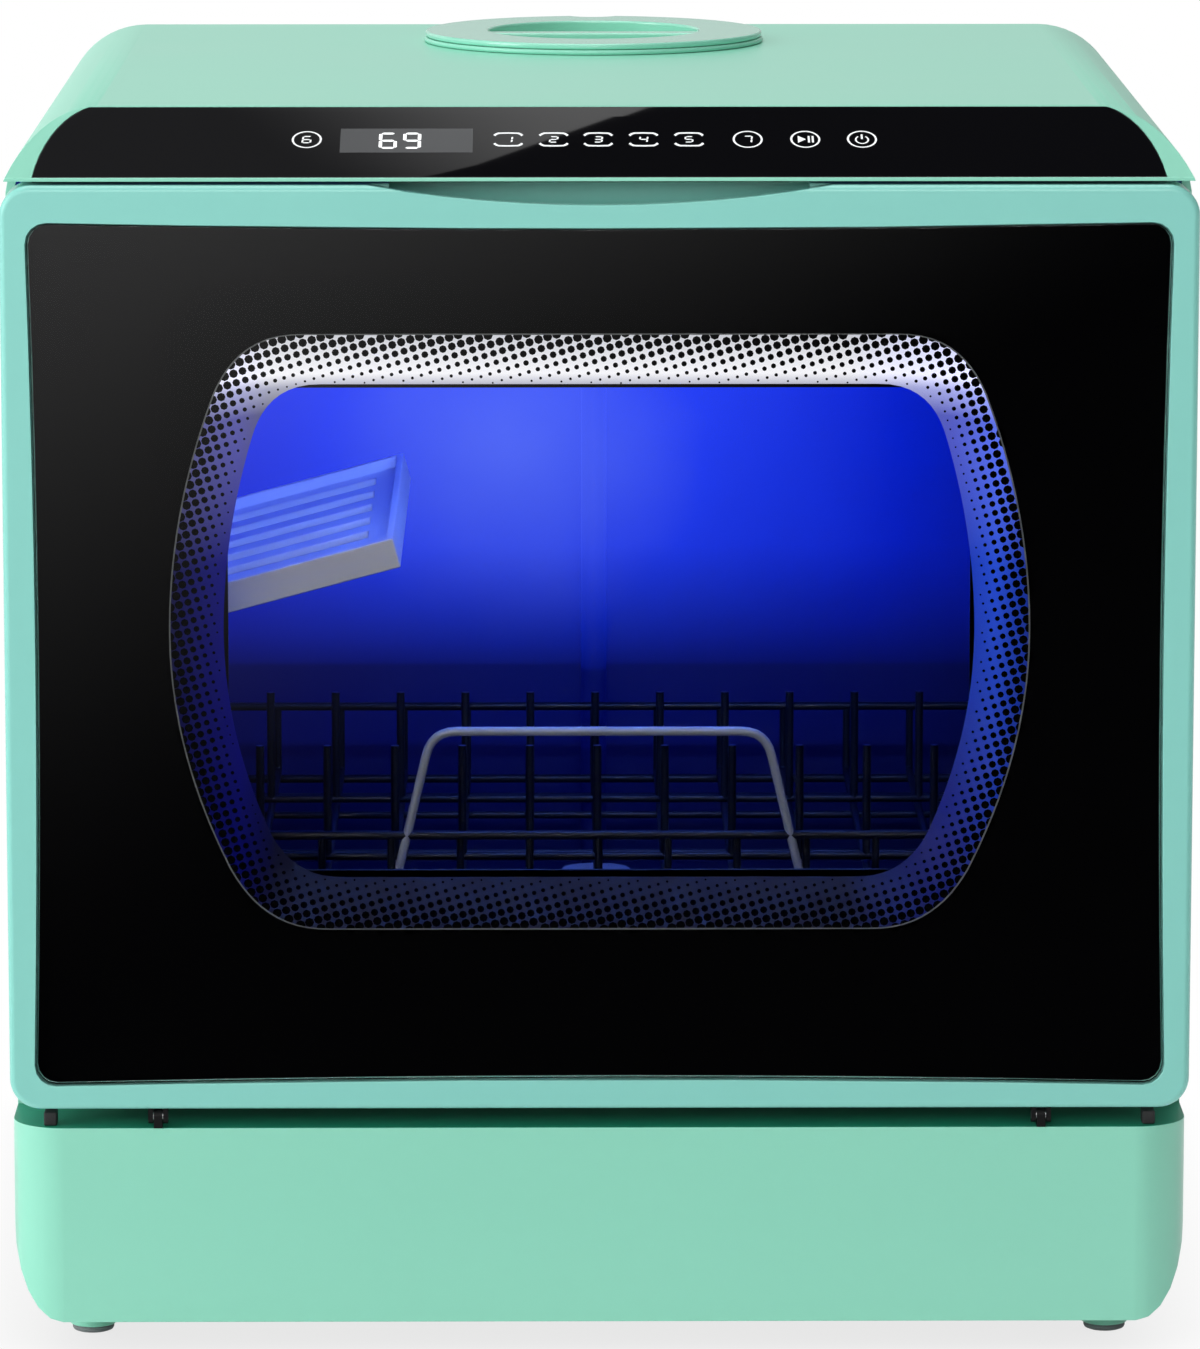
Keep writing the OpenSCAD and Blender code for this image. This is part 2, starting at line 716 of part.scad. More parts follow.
module upper_spray_arm() {
    spray_bar(upper_arm_l, 26, upper_z, 7, 12, 6 + shaft_play);
}

module upper_arm_hub() {
    color(grey) {
        z_rod(6, 0, hub_y, upper_z - 4, tub_roof - 0.1);
        z_rod(10, 0, hub_y, upper_z - 6, upper_z - 3.4);
        z_rod(16, 0, hub_y, upper_z + 10.4, tub_roof - 0.1);
    }
}

module feed_pipe() {
    color(pale) {
        z_rod(5, 0, feed_y, 96, tub_roof - 6);
        translate([0, feed_y, tub_roof - 6]) sphere(5);
        y_rod(5, 0, hub_y + 16.1, feed_y, tub_roof - 6);
    }
}

module light_lens() {
    color(blue) for (x = [-70, 70])
        span_box(x - 40, x + 40, flange_y + 22 + fit, flange_y + 34 - fit, tub_roof - 2, tub_roof + 2);
}

module light_board() {
    color(green) for (x = [-70, 70])
        span_box(x - 42, x + 42, flange_y + 20, flange_y + 36, tub_roof + 2.2, tub_roof + 4);
}

// ---- water and drying ----

sump_z = 58;

module sump() {
    color(grey) difference() {
        union() {
            z_rod(filter_r + 6, 0, sump_y, sump_z, tub_floor - tub_wall - 0.1);
            z_rod(filter_r + 11, 0, sump_y, tub_floor - 6, tub_floor - tub_wall - 0.1);
        }
        z_rod(filter_r + 3, 0, sump_y, sump_z + 3, tub_floor + 1);
        x_rod(8, 0, filter_r + 12, sump_y, sump_z + 14);
        x_rod(8, -filter_r - 12, 0, sump_y, sump_z + 14);
    }
}

module filter_basket() {
    color(grey) difference() {
        union() {
            z_rod(filter_r, 0, sump_y, sump_z + 26, tub_floor + 1.5);
            z_rod(filter_r + 5, 0, sump_y, tub_floor + 0.3, tub_floor + 3);
        }
        z_rod(filter_r - 2, 0, sump_y, sump_z + 28, tub_floor + 5);
        for (i = [0 : 11]) translate([0, sump_y, sump_z + 30]) rotate([0, 0, i * 30])
            translate([0, -1.5, 0]) cube([filter_r + 3, 3, 16]);
    }
    color(grey) span_box(-filter_r + 1, filter_r - 1, sump_y - 1.5, sump_y + 1.5, tub_floor - 12, tub_floor + 3);
}

module heater() {
    color(steel) translate([0, sump_y, sump_z + 3 + 4.3]) rotate_extrude() translate([filter_r - 9, 0]) circle(4);
}

pump_x = filter_r + 12;
pump_r = impeller_r + 5;
pump_z = sump_z + 14 - 6;

module pump_housing() {
    color(grey) difference() {
        union() {
            x_rod(pump_r, pump_x, pump_x + 26, sump_y, pump_z);
            x_rod(7.7, filter_r + 4, pump_x + 3, sump_y, sump_z + 14);
            span_box(pump_x + 4, pump_x + 22, sump_y - 16, sump_y + 16, base_bottom + case_wall + fit, pump_z);
        }
        x_rod(impeller_r + 2, pump_x + 3, pump_x + 23, sump_y, pump_z);
        x_rod(5, filter_r, pump_x + 5, sump_y, sump_z + 14);
        x_rod(4 + shaft_play, pump_x + 20, pump_x + 27, sump_y, pump_z);
    }
}

module pump_impeller() {
    color(pale) {
        x_rod(4, pump_x + 8, pump_x + 44, sump_y, pump_z);
        x_rod(impeller_r, pump_x + 17, pump_x + 20, sump_y, pump_z);
        for (i = [0 : 5]) translate([pump_x + 8, sump_y, pump_z]) rotate([i * 60, 0, 0])
            translate([0, -1, 2]) cube([9.5, 2, impeller_r - 4]);
    }
}

module pump_motor() {
    color(steel) difference() {
        union() {
            x_rod(pump_r - 3, pump_x + 26.2, pump_x + 84, sump_y, pump_z);
            x_rod(9, pump_x + 84, pump_x + 90, sump_y, pump_z);
            span_box(pump_x + 40, pump_x + 72, sump_y - 14, sump_y + 14, base_bottom + case_wall + fit, pump_z);
        }
        x_rod(4 + shaft_play, pump_x + 25, pump_x + 46, sump_y, pump_z);
    }
}

drain_pump_z = 56;

module drain_pump() {
    color(grey) {
        x_rod(20, -pump_x - 44, -pump_x - 2, sump_y, drain_pump_z);
        x_rod(7.7, -pump_x - 4, -filter_r - 4, sump_y, sump_z + 14);
        span_box(-pump_x - 36, -pump_x - 10, sump_y - 14, sump_y + 14,
            base_bottom + case_wall + fit, drain_pump_z);
        y_rod(6, -pump_x - 24, sump_y + 12, sump_y + 34, drain_pump_z);
    }
}

hose_x = -pump_x - 24;
hose_back = tub_back - 5;

module drain_hose() {
    color(grey) {
        y_rod(6.5, hose_x, sump_y + 34, hose_back, drain_pump_z);
        translate([hose_x, hose_back, drain_pump_z]) sphere(6.5);
        x_rod(6.5, hose_x, drain_x, hose_back, drain_pump_z);
        translate([drain_x, hose_back, drain_pump_z]) sphere(6.5);
        z_rod(6.5, drain_x, hose_back, drain_pump_z, port_z);
        translate([drain_x, hose_back, port_z]) sphere(6.5);
        y_rod(6.5, drain_x, hose_back, back_y - 20, port_z);
    }
}

shoulder = 1.4;
relief = 0.8;

// A spigot with a flange inside the base's wall, a shoulder through it and a relief beyond it
module port_spigot(r, x, y0, y1, z) {
    y_rod(r, x, back_y + 0.4 + relief, y1, z);
    y_rod(r - relief, x, y0, y1, z);
    y_rod(r + shoulder, x, back_y - 9, back_y + 0.4, z);
    y_rod(r + 4, x, back_y - 9, back_y - case_wall - fit, z);
}

module drain_port() {
    color(black) difference() {
        union() {
            port_spigot(drain_r, drain_x, back_y - 20, back_y + port_reach - 1, port_z);
        }
        y_rod(drain_r - 2.5, drain_x, back_y - 19, back_y + port_reach + 1, port_z);
    }
}

module inlet_valve() {
    color(pale) difference() {
        union() {
            port_spigot(inlet_r, inlet_x, back_y - 24, back_y + port_reach, inlet_z);
            span_box(inlet_x - 16, inlet_x + 16, back_y - 56, back_y - 22, inlet_z - 18, inlet_z + 18);
            span_box(inlet_x - 14, inlet_x + 14, back_y - 54, back_y - 30, base_bottom + case_wall + fit,
                inlet_z - 17);
        }
        y_rod(inlet_r - 3, inlet_x, back_y - 20, back_y + port_reach + 1, inlet_z);
    }
}

tank_x0 = -tub_half + 2;
tank_x1 = fan_x - 44;
tank_y0 = tub_back + 4;
tank_y1 = back_y - cover_t - 6;
tank_z1 = 392;

module water_tank() {
    color(pale) difference() {
        union() {
            span_box(tank_x0, tank_x1, tank_y0, tank_y1, base_top + 4, tank_z1);
            z_rod(11, 0, duct_y, tank_z1 - 1, tank_z1 + 10);
            for (x = [tank_x0 + 36, tank_x1 - 26]) span_box(x, x + 20, tank_y0, tank_y0 + 22,
                base_bottom + case_wall + fit, base_top + 5);
        }
        span_box(tank_x0 + 2, tank_x1 - 2, tank_y0 + 2, tank_y1 - 2, base_top + 6, tank_z1 - 2);
        z_rod(8, 0, duct_y, tank_z1 - 3, tank_z1 + 11);
    }
}

funnel_r = grip_d / 2 + 2.5;
funnel_z = case_top - 30;
duct_y = tank_y0 + 12;

module fill_funnel() {
    color(mint) difference() {
        union() {
            z_rod(lid_d / 2, 0, fill_y, case_top + 0.1, case_top + collar_h);
            z_rod(funnel_r, 0, fill_y, funnel_z, case_top + 1);
        }
        z_rod(grip_d / 2 + fit, 0, fill_y, funnel_z + 2, case_top + collar_h + 1);
        z_rod(6, 0, duct_y, funnel_z - 1, funnel_z + 3);
    }
}

module fill_lid() {
    z1 = case_top + collar_h + lid_h;
    color(mint) difference() {
        union() {
            z_rod(lid_d / 2 - 0.5, 0, fill_y, case_top + collar_h + 0.1, z1);
            z_rod(grip_d / 2, 0, fill_y, case_top + collar_h - grip_depth, z1 - 1);
        }
        z_rod(grip_d / 2 - 2.5, 0, fill_y, z1 - grip_depth, z1 + 1);
        z_rod(10, 0, fill_y + lid_d / 2 + 4, case_top, z1 + 1);
    }
    color(mint) span_box(-grip_d / 2 + 1, grip_d / 2 - 1, fill_y - 4, fill_y + 4, z1 - grip_depth - 0.5, z1 - 1);
}

module fill_duct() {
    color(pale) difference() {
        union() {
            z_rod(5.8, 0, duct_y, funnel_z - 1, funnel_z + 2.6);
            z_rod(7.6, 0, duct_y, tank_z1 + 1, funnel_z - 0.1);
        }
        z_rod(4, 0, duct_y, tank_z1, funnel_z + 3);
    }
}

float_x = -half_w + 80;
float_y = tub_back - 50;
floor_in = base_bottom + case_wall;

module float_post() {
    color(pale) {
        z_rod(4, float_x, float_y, floor_in + 0.1, floor_in + 40);
        z_rod(14, float_x, float_y, floor_in + 0.1, floor_in + 3);
        z_rod(8, float_x, float_y, floor_in + 38, floor_in + 42);
    }
}

module level_float() {
    color(pale) difference() {
        z_rod(20, float_x, float_y, floor_in + 3.3, floor_in + 17);
        z_rod(4 + shaft_play, float_x, float_y, floor_in + 2, floor_in + 18);
    }
}

fan_y0 = tank_y0;
fan_y1 = tank_y1;

module fan_housing() {
    color(black) difference() {
        span_box(fan_x - fan_r - 6, fan_x + fan_r + 4, fan_y0, fan_y1, fan_z - fan_r - 6, fan_z + fan_r + 6);
        y_rod(fan_r + 2, fan_x, fan_y0 + 3, fan_y1 + 1, fan_z);
        y_rod(14, fan_x - 20, fan_y0 - 1, fan_y0 + 4, fan_z);
    }
}

module fan_motor() {
    color(steel) difference() {
        union() {
            y_rod(11, fan_x, fan_y1 - 16, fan_y1, fan_z);
            for (a = [45 : 90 : 315]) translate([fan_x, 0, fan_z]) rotate([0, a, 0])
                span_box(0, fan_r + 1.8, fan_y1 - 3, fan_y1, -2, 2);
        }
        y_rod(3 + shaft_play, fan_x, fan_y1 - 17, fan_y1 - 4, fan_z);
    }
}

module fan_impeller() {
    color(black) {
        y_rod(3, fan_x, fan_y0 + 6, fan_y1 - 5, fan_z);
        y_rod(10, fan_x, fan_y0 + 6, fan_y0 + 16, fan_z);
        for (i = [0 : 6]) translate([fan_x, fan_y0 + 7, fan_z]) rotate([0, i * 360 / 7, 0])
            span_box(4, fan_r - 1, 0, 8, -1, 1);
    }
}

module air_duct() {
    color(black) difference() {
        y_rod(16, fan_x - 20, tub_back + 0.1, fan_y0 - 0.1, fan_z);
        y_rod(13, fan_x - 20, tub_back - 1, fan_y0 + 1, fan_z);
    }
}

module power_board() {
    color(green) translate([half_w - 150, tub_back - 80, floor_in]) {
        span_box(0, 90, 0, 70, 0.1, 8);
        span_box(10, 35, 10, 40, 8, 30);
        span_box(45, 80, 15, 55, 8, 22);
    }
}

outer_case();
back_cover();
cover_screws();
base_tray();
rubber_feet();
door_bumpers();
power_gland();
control_panel();
display_module();
control_board();
door_frame();
door_glass();
door_liner();
window_bezel();
inner_window();
window_gasket();
door_clevises();
hinge_pins();
hinge_brackets();
latch_tongue();
door_lock();
latch_lever();
detergent_cup();
detergent_lid();
door_seal();
tub();
rack_rails();
rack_floor();
rack_frame();
rack_tines();
cup_shelf();
shelf_bracket();
lower_spray_arm();
lower_arm_hub();
upper_spray_arm();
upper_arm_hub();
feed_pipe();
light_lens();
light_board();
sump();
filter_basket();
heater();
pump_housing();
pump_impeller();
pump_motor();
drain_pump();
drain_hose();
drain_port();
inlet_valve();
water_tank();
fill_funnel();
fill_lid();
fill_duct();
float_post();
level_float();
fan_housing();
fan_impeller();
fan_motor();
air_duct();
power_board();
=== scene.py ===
import bpy
import bmesh
import json
import math
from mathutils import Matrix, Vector


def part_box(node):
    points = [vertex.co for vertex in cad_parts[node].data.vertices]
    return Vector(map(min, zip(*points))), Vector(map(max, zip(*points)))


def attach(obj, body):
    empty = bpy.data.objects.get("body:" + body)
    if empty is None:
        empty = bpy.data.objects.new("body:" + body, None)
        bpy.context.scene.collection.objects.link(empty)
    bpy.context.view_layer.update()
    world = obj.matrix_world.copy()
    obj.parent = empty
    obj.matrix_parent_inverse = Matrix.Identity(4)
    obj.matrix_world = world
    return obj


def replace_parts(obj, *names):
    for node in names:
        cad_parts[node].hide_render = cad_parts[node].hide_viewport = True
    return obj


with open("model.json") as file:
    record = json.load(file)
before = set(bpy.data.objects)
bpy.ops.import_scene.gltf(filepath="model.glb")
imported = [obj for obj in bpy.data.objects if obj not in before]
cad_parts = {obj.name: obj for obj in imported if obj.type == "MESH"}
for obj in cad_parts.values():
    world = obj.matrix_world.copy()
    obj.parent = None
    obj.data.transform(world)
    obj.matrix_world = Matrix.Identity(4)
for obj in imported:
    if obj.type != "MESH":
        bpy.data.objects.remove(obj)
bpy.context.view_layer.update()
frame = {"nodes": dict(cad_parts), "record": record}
nodes = frame["nodes"]
scene = bpy.context.scene
MM = 0.001


# ---- Studio ----
# A white sweep with a broad lamp on the left and soft ones above, in front and behind. Cards
# that only reflections see give the black glass its gradients.

CAMERA_PLACE, CAMERA_PITCH, CAMERA_YAW = (-0.0198, -2.896, 0.7012), 0.1678, -0.0074
camera_data = bpy.data.cameras.new("camera")
camera_data.sensor_fit = "VERTICAL"
camera_data.sensor_height = 36
camera_data.lens = 206.4
camera_data.clip_end = 50
camera = bpy.data.objects.new("camera", camera_data)
scene.collection.objects.link(camera)
camera.location = CAMERA_PLACE
camera.rotation_euler = (math.pi / 2 - CAMERA_PITCH, 0, CAMERA_YAW)
scene.camera = camera
scene.view_settings.view_transform = "Standard"


def lamp(name, place, target, width, height, power, colour=(1, 1, 1)):
    """A soft rectangular lamp that looks at a point"""
    data = bpy.data.lights.new(name, "AREA")
    data.shape = "RECTANGLE"
    data.size = width
    data.size_y = height
    data.energy = power
    data.color = colour
    lit = bpy.data.objects.new(name, data)
    scene.collection.objects.link(lit)
    lit.location = place
    lit.rotation_euler = (Vector(target) - Vector(place)).to_track_quat("-Z", "Y").to_euler()
    return lit


lamp("lamp_left", (-2.8, -1.2, 1.2), (0, 0, 0.25), 1.4, 2.2, 50)
lamp("lamp_above", (-0.2, 0.0, 2.7), (0, 0, 0.3), 2.0, 1.6, 30)
lamp("lamp_front", (-0.2, -3.9, 1.6), (0, 0, 0.25), 2.2, 1.2, 38)
lamp("lamp_behind", (0.8, 3.0, 1.6), (0, 0, 0.25), 2.2, 1.6, 26).visible_glossy = False


def bare_material(name):
    """A new material, its node tree's nodes and links, and its Principled shader"""
    made = bpy.data.materials.new(name)
    made.use_nodes = True
    tree = made.node_tree
    return made, tree.nodes, tree.links, tree.nodes["Principled BSDF"]


def maths(tree_nodes, links, operation, *values):
    """A Math node fed with numbers or with other nodes' outputs"""
    node = tree_nodes.new("ShaderNodeMath")
    node.operation = operation
    for socket, value in zip(node.inputs, values):
        if isinstance(value, (int, float)):
            socket.default_value = value
        else:
            links.new(value, socket)
    return node.outputs[0]


world = bpy.data.worlds.new("studio")
scene.world = world
world.use_nodes = True
world_nodes = world.node_tree.nodes
world_links = world.node_tree.links
backdrop = world_nodes["Background"]
backdrop.inputs["Color"].default_value = (1, 1, 1, 1)
backdrop_path = world_nodes.new("ShaderNodeLightPath")
AMBIENT, AMBIENT_LEFT = 0.40, -0.36
from_where = world_nodes.new("ShaderNodeSeparateXYZ")
world_links.new(world_nodes.new("ShaderNodeTexCoord").outputs["Generated"], from_where.inputs[0])
ambient = maths(world_nodes, world_links, "MULTIPLY_ADD", from_where.outputs["X"], AMBIENT_LEFT, AMBIENT)
MIRRORED, MIRRORED_LEFT = 0.58, -0.5
scatters = maths(world_nodes, world_links, "ADD", backdrop_path.outputs["Diffuse Depth"],
                 backdrop_path.outputs["Glossy Depth"])
unscattered = maths(world_nodes, world_links, "LESS_THAN", scatters, 0.5)
mirrored = maths(world_nodes, world_links, "MULTIPLY_ADD", from_where.outputs["X"], MIRRORED_LEFT, MIRRORED)
mirrored = maths(world_nodes, world_links, "MULTIPLY", backdrop_path.outputs["Is Glossy Ray"], mirrored)
through = maths(world_nodes, world_links, "MULTIPLY", backdrop_path.outputs["Is Transmission Ray"],
                unscattered)
world_level = maths(world_nodes, world_links, "MAXIMUM", backdrop_path.outputs["Is Camera Ray"], ambient)
for level in (mirrored, through):
    world_level = maths(world_nodes, world_links, "MAXIMUM", world_level, level)
world_links.new(world_level, backdrop.inputs["Strength"])


def mesh_piece(name, verts, faces):
    """A piece with these points and faces"""
    mesh = bpy.data.meshes.new(name)
    mesh.from_pydata(verts, [], faces)
    piece = bpy.data.objects.new(name, mesh)
    scene.collection.objects.link(piece)
    return piece


FLOOR_REACH, FLOOR_WHITE, FLOOR_SHADE = 12, 0.78, 0.22
floor = mesh_piece("floor", [(-FLOOR_REACH, -FLOOR_REACH, 0), (FLOOR_REACH, -FLOOR_REACH, 0),
                             (FLOOR_REACH, FLOOR_REACH, 0), (-FLOOR_REACH, FLOOR_REACH, 0)], [range(4)])
floor_paint, f_nodes, f_links, f_shader = bare_material("floor_paint")
f_shader.inputs["Base Color"].default_value = (0.9, 0.9, 0.9, 1)
f_shader.inputs["Roughness"].default_value = 0.9
f_shader.inputs["Specular IOR Level"].default_value = 0.1
floor_path = f_nodes.new("ShaderNodeLightPath")
# Painted shadow: the floor's even white glow is darkened near the object by ambient occlusion.
shade = f_nodes.new("ShaderNodeAmbientOcclusion")
shade.inputs["Distance"].default_value = 0.05
shade.samples = 8
white = f_nodes.new("ShaderNodeEmission")
floor_level = maths(f_nodes, f_links, "MULTIPLY_ADD", shade.outputs["AO"], FLOOR_SHADE, FLOOR_WHITE)
f_links.new(floor_level, white.inputs["Strength"])
floor_mix = f_nodes.new("ShaderNodeMixShader")
seen = maths(f_nodes, f_links, "LESS_THAN", floor_path.outputs["Diffuse Depth"], 0.5)
f_links.new(seen, floor_mix.inputs[0])
f_links.new(f_shader.outputs[0], floor_mix.inputs[1])
f_links.new(white.outputs[0], floor_mix.inputs[2])
f_links.new(floor_mix.outputs[0], f_nodes["Material Output"].inputs["Surface"])
floor.data.materials.append(floor_paint)


def reflected_card(name, corners, along, start, end, low, high):
    """A card that only mirror rays see, whose glow changes from low to high along a direction"""
    card = mesh_piece(name, corners, [range(len(corners))])
    paint, n, links, bsdf = bare_material(name)
    n.remove(bsdf)
    place = n.new("ShaderNodeTexCoord")
    way = n.new("ShaderNodeVectorMath")
    way.operation = "DOT_PRODUCT"
    way.inputs[1].default_value = along
    fade = n.new("ShaderNodeMapRange")
    fade.interpolation_type = "SMOOTHSTEP"
    for socket, value in (("From Min", start), ("From Max", end), ("To Min", low), ("To Max", high)):
        fade.inputs[socket].default_value = value
    glow = n.new("ShaderNodeEmission")
    links.new(place.outputs["Object"], way.inputs[0])
    links.new(way.outputs["Value"], fade.inputs["Value"])
    links.new(fade.outputs[0], glow.inputs["Strength"])
    links.new(glow.outputs[0], n["Material Output"].inputs["Surface"])
    card.data.materials.append(paint)
    card.visible_camera = False
    card.visible_diffuse = False
    card.visible_shadow = False
    return card


CARD_LIFT = 0.004
reflected_card("card_floor", [(-5, -0.35, CARD_LIFT), (5, -0.35, CARD_LIFT), (5, -6, CARD_LIFT),
                              (-5, -6, CARD_LIFT)],
               (-4, -1, 0), 1.6, 6.5, 0.0, 1.0)
reflected_card("card_dark", [(-3, 2.05, 1.7), (3, 2.05, 1.7), (3, 2.05, 2.7), (-3, 2.05, 2.7)],
               (1, 0, 0), -1, 1, 0.0, 0.0)
STRIP_LOW, STRIP_HIGH, OVER, LEAN = 2.235, 2.168, 0.15, 2.2
STRIP_LOW_X, STRIP_HIGH_X = -0.109, 0.037
reflected_card("card_strip", [(STRIP_LOW_X - LEAN * OVER, 2, STRIP_LOW + OVER),
                              (STRIP_HIGH_X + LEAN * OVER, 2, STRIP_HIGH - OVER),
                              (-2.0, 2, STRIP_HIGH - OVER), (-2.0, 2, STRIP_LOW + OVER)],
               (1, 0, -1), -2.42, -2.14, 0.06, 0.6)


# ---- Case ----
# One moulded shell in glossy mint plastic, with round shoulders and a hood that slopes down
# over the door. Its skin has a faint orange peel, and its arrises are rounded by the mould.

def new_group(name, inputs, outputs):
    """An empty shader group with named sockets"""
    group = bpy.data.node_groups.new(name, "ShaderNodeTree")
    for label, kind, value in inputs:
        group.interface.new_socket(label, in_out="INPUT", socket_type=kind).default_value = value
    for label, kind in outputs:
        group.interface.new_socket(label, in_out="OUTPUT", socket_type=kind)
    given = group.nodes.new("NodeGroupInput")
    out = group.nodes.new("NodeGroupOutput")
    return group, group.nodes, group.links, given, out


def noise(tree_nodes, links, where, scale, detail):
    """Smooth noise over a position"""
    cloud = tree_nodes.new("ShaderNodeTexNoise")
    cloud.inputs["Detail"].default_value = detail
    links.new(where, cloud.inputs["Vector"])
    if isinstance(scale, (int, float)):
        cloud.inputs["Scale"].default_value = scale
    else:
        links.new(scale, cloud.inputs["Scale"])
    return cloud.outputs["Fac"]


FLOAT, COLOUR = "NodeSocketFloat", "NodeSocketColor"
skin_group, n, links, given, out = new_group(
    "skin",
    [("Colour", COLOUR, (0.5, 0.5, 0.5, 1)), ("Patches", FLOAT, 0.04), ("Patch scale", FLOAT, 9.0),
     ("Grain scale", FLOAT, 700.0), ("Relief", FLOAT, 0.05), ("Roughness", FLOAT, 0.3),
     ("Roughness change", FLOAT, 0.06)],
    [("Colour", COLOUR), ("Roughness", FLOAT), ("Height", FLOAT)])
skin_place = n.new("ShaderNodeTexCoord").outputs["Object"]
patches = maths(n, links, "SUBTRACT", noise(n, links, skin_place, given.outputs["Patch scale"], 3), 0.5)
brightness = maths(n, links, "MULTIPLY_ADD", patches, given.outputs["Patches"], 1.0)
tint = n.new("ShaderNodeVectorMath")
tint.operation = "SCALE"
links.new(given.outputs["Colour"], tint.inputs[0])
links.new(brightness, tint.inputs["Scale"])
links.new(tint.outputs[0], out.inputs["Colour"])
links.new(maths(n, links, "MULTIPLY_ADD", patches, given.outputs["Roughness change"],
                given.outputs["Roughness"]), out.inputs["Roughness"])
links.new(maths(n, links, "MULTIPLY", noise(n, links, skin_place, given.outputs["Grain scale"], 2),
                given.outputs["Relief"]), out.inputs["Height"])


def skin_on(n, links, bsdf, values):
    """The skin group in a material, with these inputs, feeding its colour and roughness"""
    skin = n.new("ShaderNodeGroup")
    skin.node_tree = skin_group
    for label, value in values.items():
        skin.inputs[label].default_value = value
    links.new(skin.outputs["Colour"], bsdf.inputs["Base Color"])
    links.new(skin.outputs["Roughness"], bsdf.inputs["Roughness"])
    return skin


def finish(name, colour, roughness, patches=0.04, patch_scale=9.0, grain=700.0, relief=0.05,
           change=0.06, **sockets):
    """A Principled finish whose colour, roughness and relief come from the skin group"""
    made, n, links, bsdf = bare_material(name)
    skin = skin_on(n, links, bsdf, {
        "Colour": (*colour, 1), "Patches": patches, "Patch scale": patch_scale, "Grain scale": grain,
        "Relief": relief, "Roughness": roughness, "Roughness change": change})
    relief_bump = n.new("ShaderNodeBump")
    relief_bump.inputs["Distance"].default_value = 0.3 * MM
    links.new(skin.outputs["Height"], relief_bump.inputs["Height"])
    links.new(relief_bump.outputs[0], bsdf.inputs["Normal"])
    for label, value in sockets.items():
        bsdf.inputs[label.replace("_", " ")].default_value = value
    return made


def put_on(piece, paint, body):
    """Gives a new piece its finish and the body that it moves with"""
    piece.data.materials.clear()
    piece.data.materials.append(paint)
    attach(piece, body)
    return piece


MERGE, FLAT_ANGLE, SHARP_ANGLE = 0.002 * MM, math.radians(0.3), math.radians(28)


def with_soft_edges(node, name, radius, wide=0.0, is_wide=None, segments=2):
    """A copy of a solid with its arrises rounded to radius, and those chosen by is_wide to wide"""
    mesh = nodes[node].data.copy()
    mesh.name = name
    piece = bpy.data.objects.new(name, mesh)
    scene.collection.objects.link(piece)
    bm = bmesh.new()
    bm.from_mesh(mesh)
    bmesh.ops.remove_doubles(bm, verts=bm.verts, dist=MERGE)
    bmesh.ops.dissolve_limit(bm, angle_limit=FLAT_ANGLE, verts=bm.verts, edges=bm.edges)
    widest = max(radius, wide)
    weight = bm.edges.layers.float.new("bevel_weight_edge")
    for edge in bm.edges:
        if len(edge.link_faces) == 2 and edge.calc_face_angle(0) > SHARP_ANGLE:
            edge[weight] = (wide if is_wide and is_wide(edge) else radius) / widest
    bm.to_mesh(mesh)
    bm.free()
    for face in mesh.polygons:
        face.use_smooth = True
    bevel = piece.modifiers.new("soft_edges", "BEVEL")
    bevel.limit_method = "WEIGHT"
    bevel.width = widest
    bevel.segments = segments
    bevel.use_clamp_overlap = True
    flats = piece.modifiers.new("flats_stay_flat", "WEIGHTED_NORMAL")
    flats.weight = 50
    flats.keep_sharp = True
    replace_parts(piece, node)
    return piece


def dress(node, name, radius, paint, body, slot, **edges):
    """Puts a soft-edged copy of a solid in its place, in its finish"""
    return put_on(with_soft_edges(node, name, radius, **edges), paint, body)


def repaint(paint, *names):
    """Gives solids that stay as they are a finish"""
    for name in names:
        nodes[name].data.materials.clear()
        nodes[name].data.materials.append(paint)


CASE_MINT = (0.262, 0.655, 0.500)
case_plastic = finish("case_plastic", CASE_MINT, 0.3, patches=0.02, relief=0.03, Specular_IOR_Level=0.4)
dress("outer_case", "case_shell", 0.7 * MM, case_plastic, "cabinet", "mint_plastic")


# ---- Back cover ----
# A flat sheet of the same plastic, slotted for the fan and the tank, under six steel screws.

dress("back_cover", "back_sheet", 0.4 * MM, case_plastic, "cabinet", "mint_plastic")
black_plastic = finish("black_plastic", (0.014, 0.014, 0.015), 0.42, patches=0.3, relief=0.3, change=0.15)


def turned_piece(name, profile, place, axis, turns=48):
    """A solid of revolution from (radius, height) points, standing on place along axis"""
    bm = bmesh.new()
    rings = []
    for radius, height in profile:
        rings.append([bm.verts.new((radius * math.cos(2 * math.pi * i / turns),
                                    radius * math.sin(2 * math.pi * i / turns), height))
                      for i in range(turns)])
    for low, high in zip(rings, rings[1:]):
        for i in range(turns):
            j = (i + 1) % turns
            bm.faces.new((low[i], low[j], high[j], high[i]))
    bm.faces.new(list(reversed(rings[0])))
    bm.faces.new(rings[-1])
    bmesh.ops.recalc_face_normals(bm, faces=bm.faces)
    mesh = bpy.data.meshes.new(name)
    bm.to_mesh(mesh)
    bm.free()
    piece = bpy.data.objects.new(name, mesh)
    scene.collection.objects.link(piece)
    turn = Vector((0, 0, 1)).rotation_difference(Vector(axis)).to_matrix().to_4x4()
    turn.translation = Vector(place)
    mesh.transform(turn)
    for face in mesh.polygons:
        face.use_smooth = len(face.vertices) == 4
    return piece


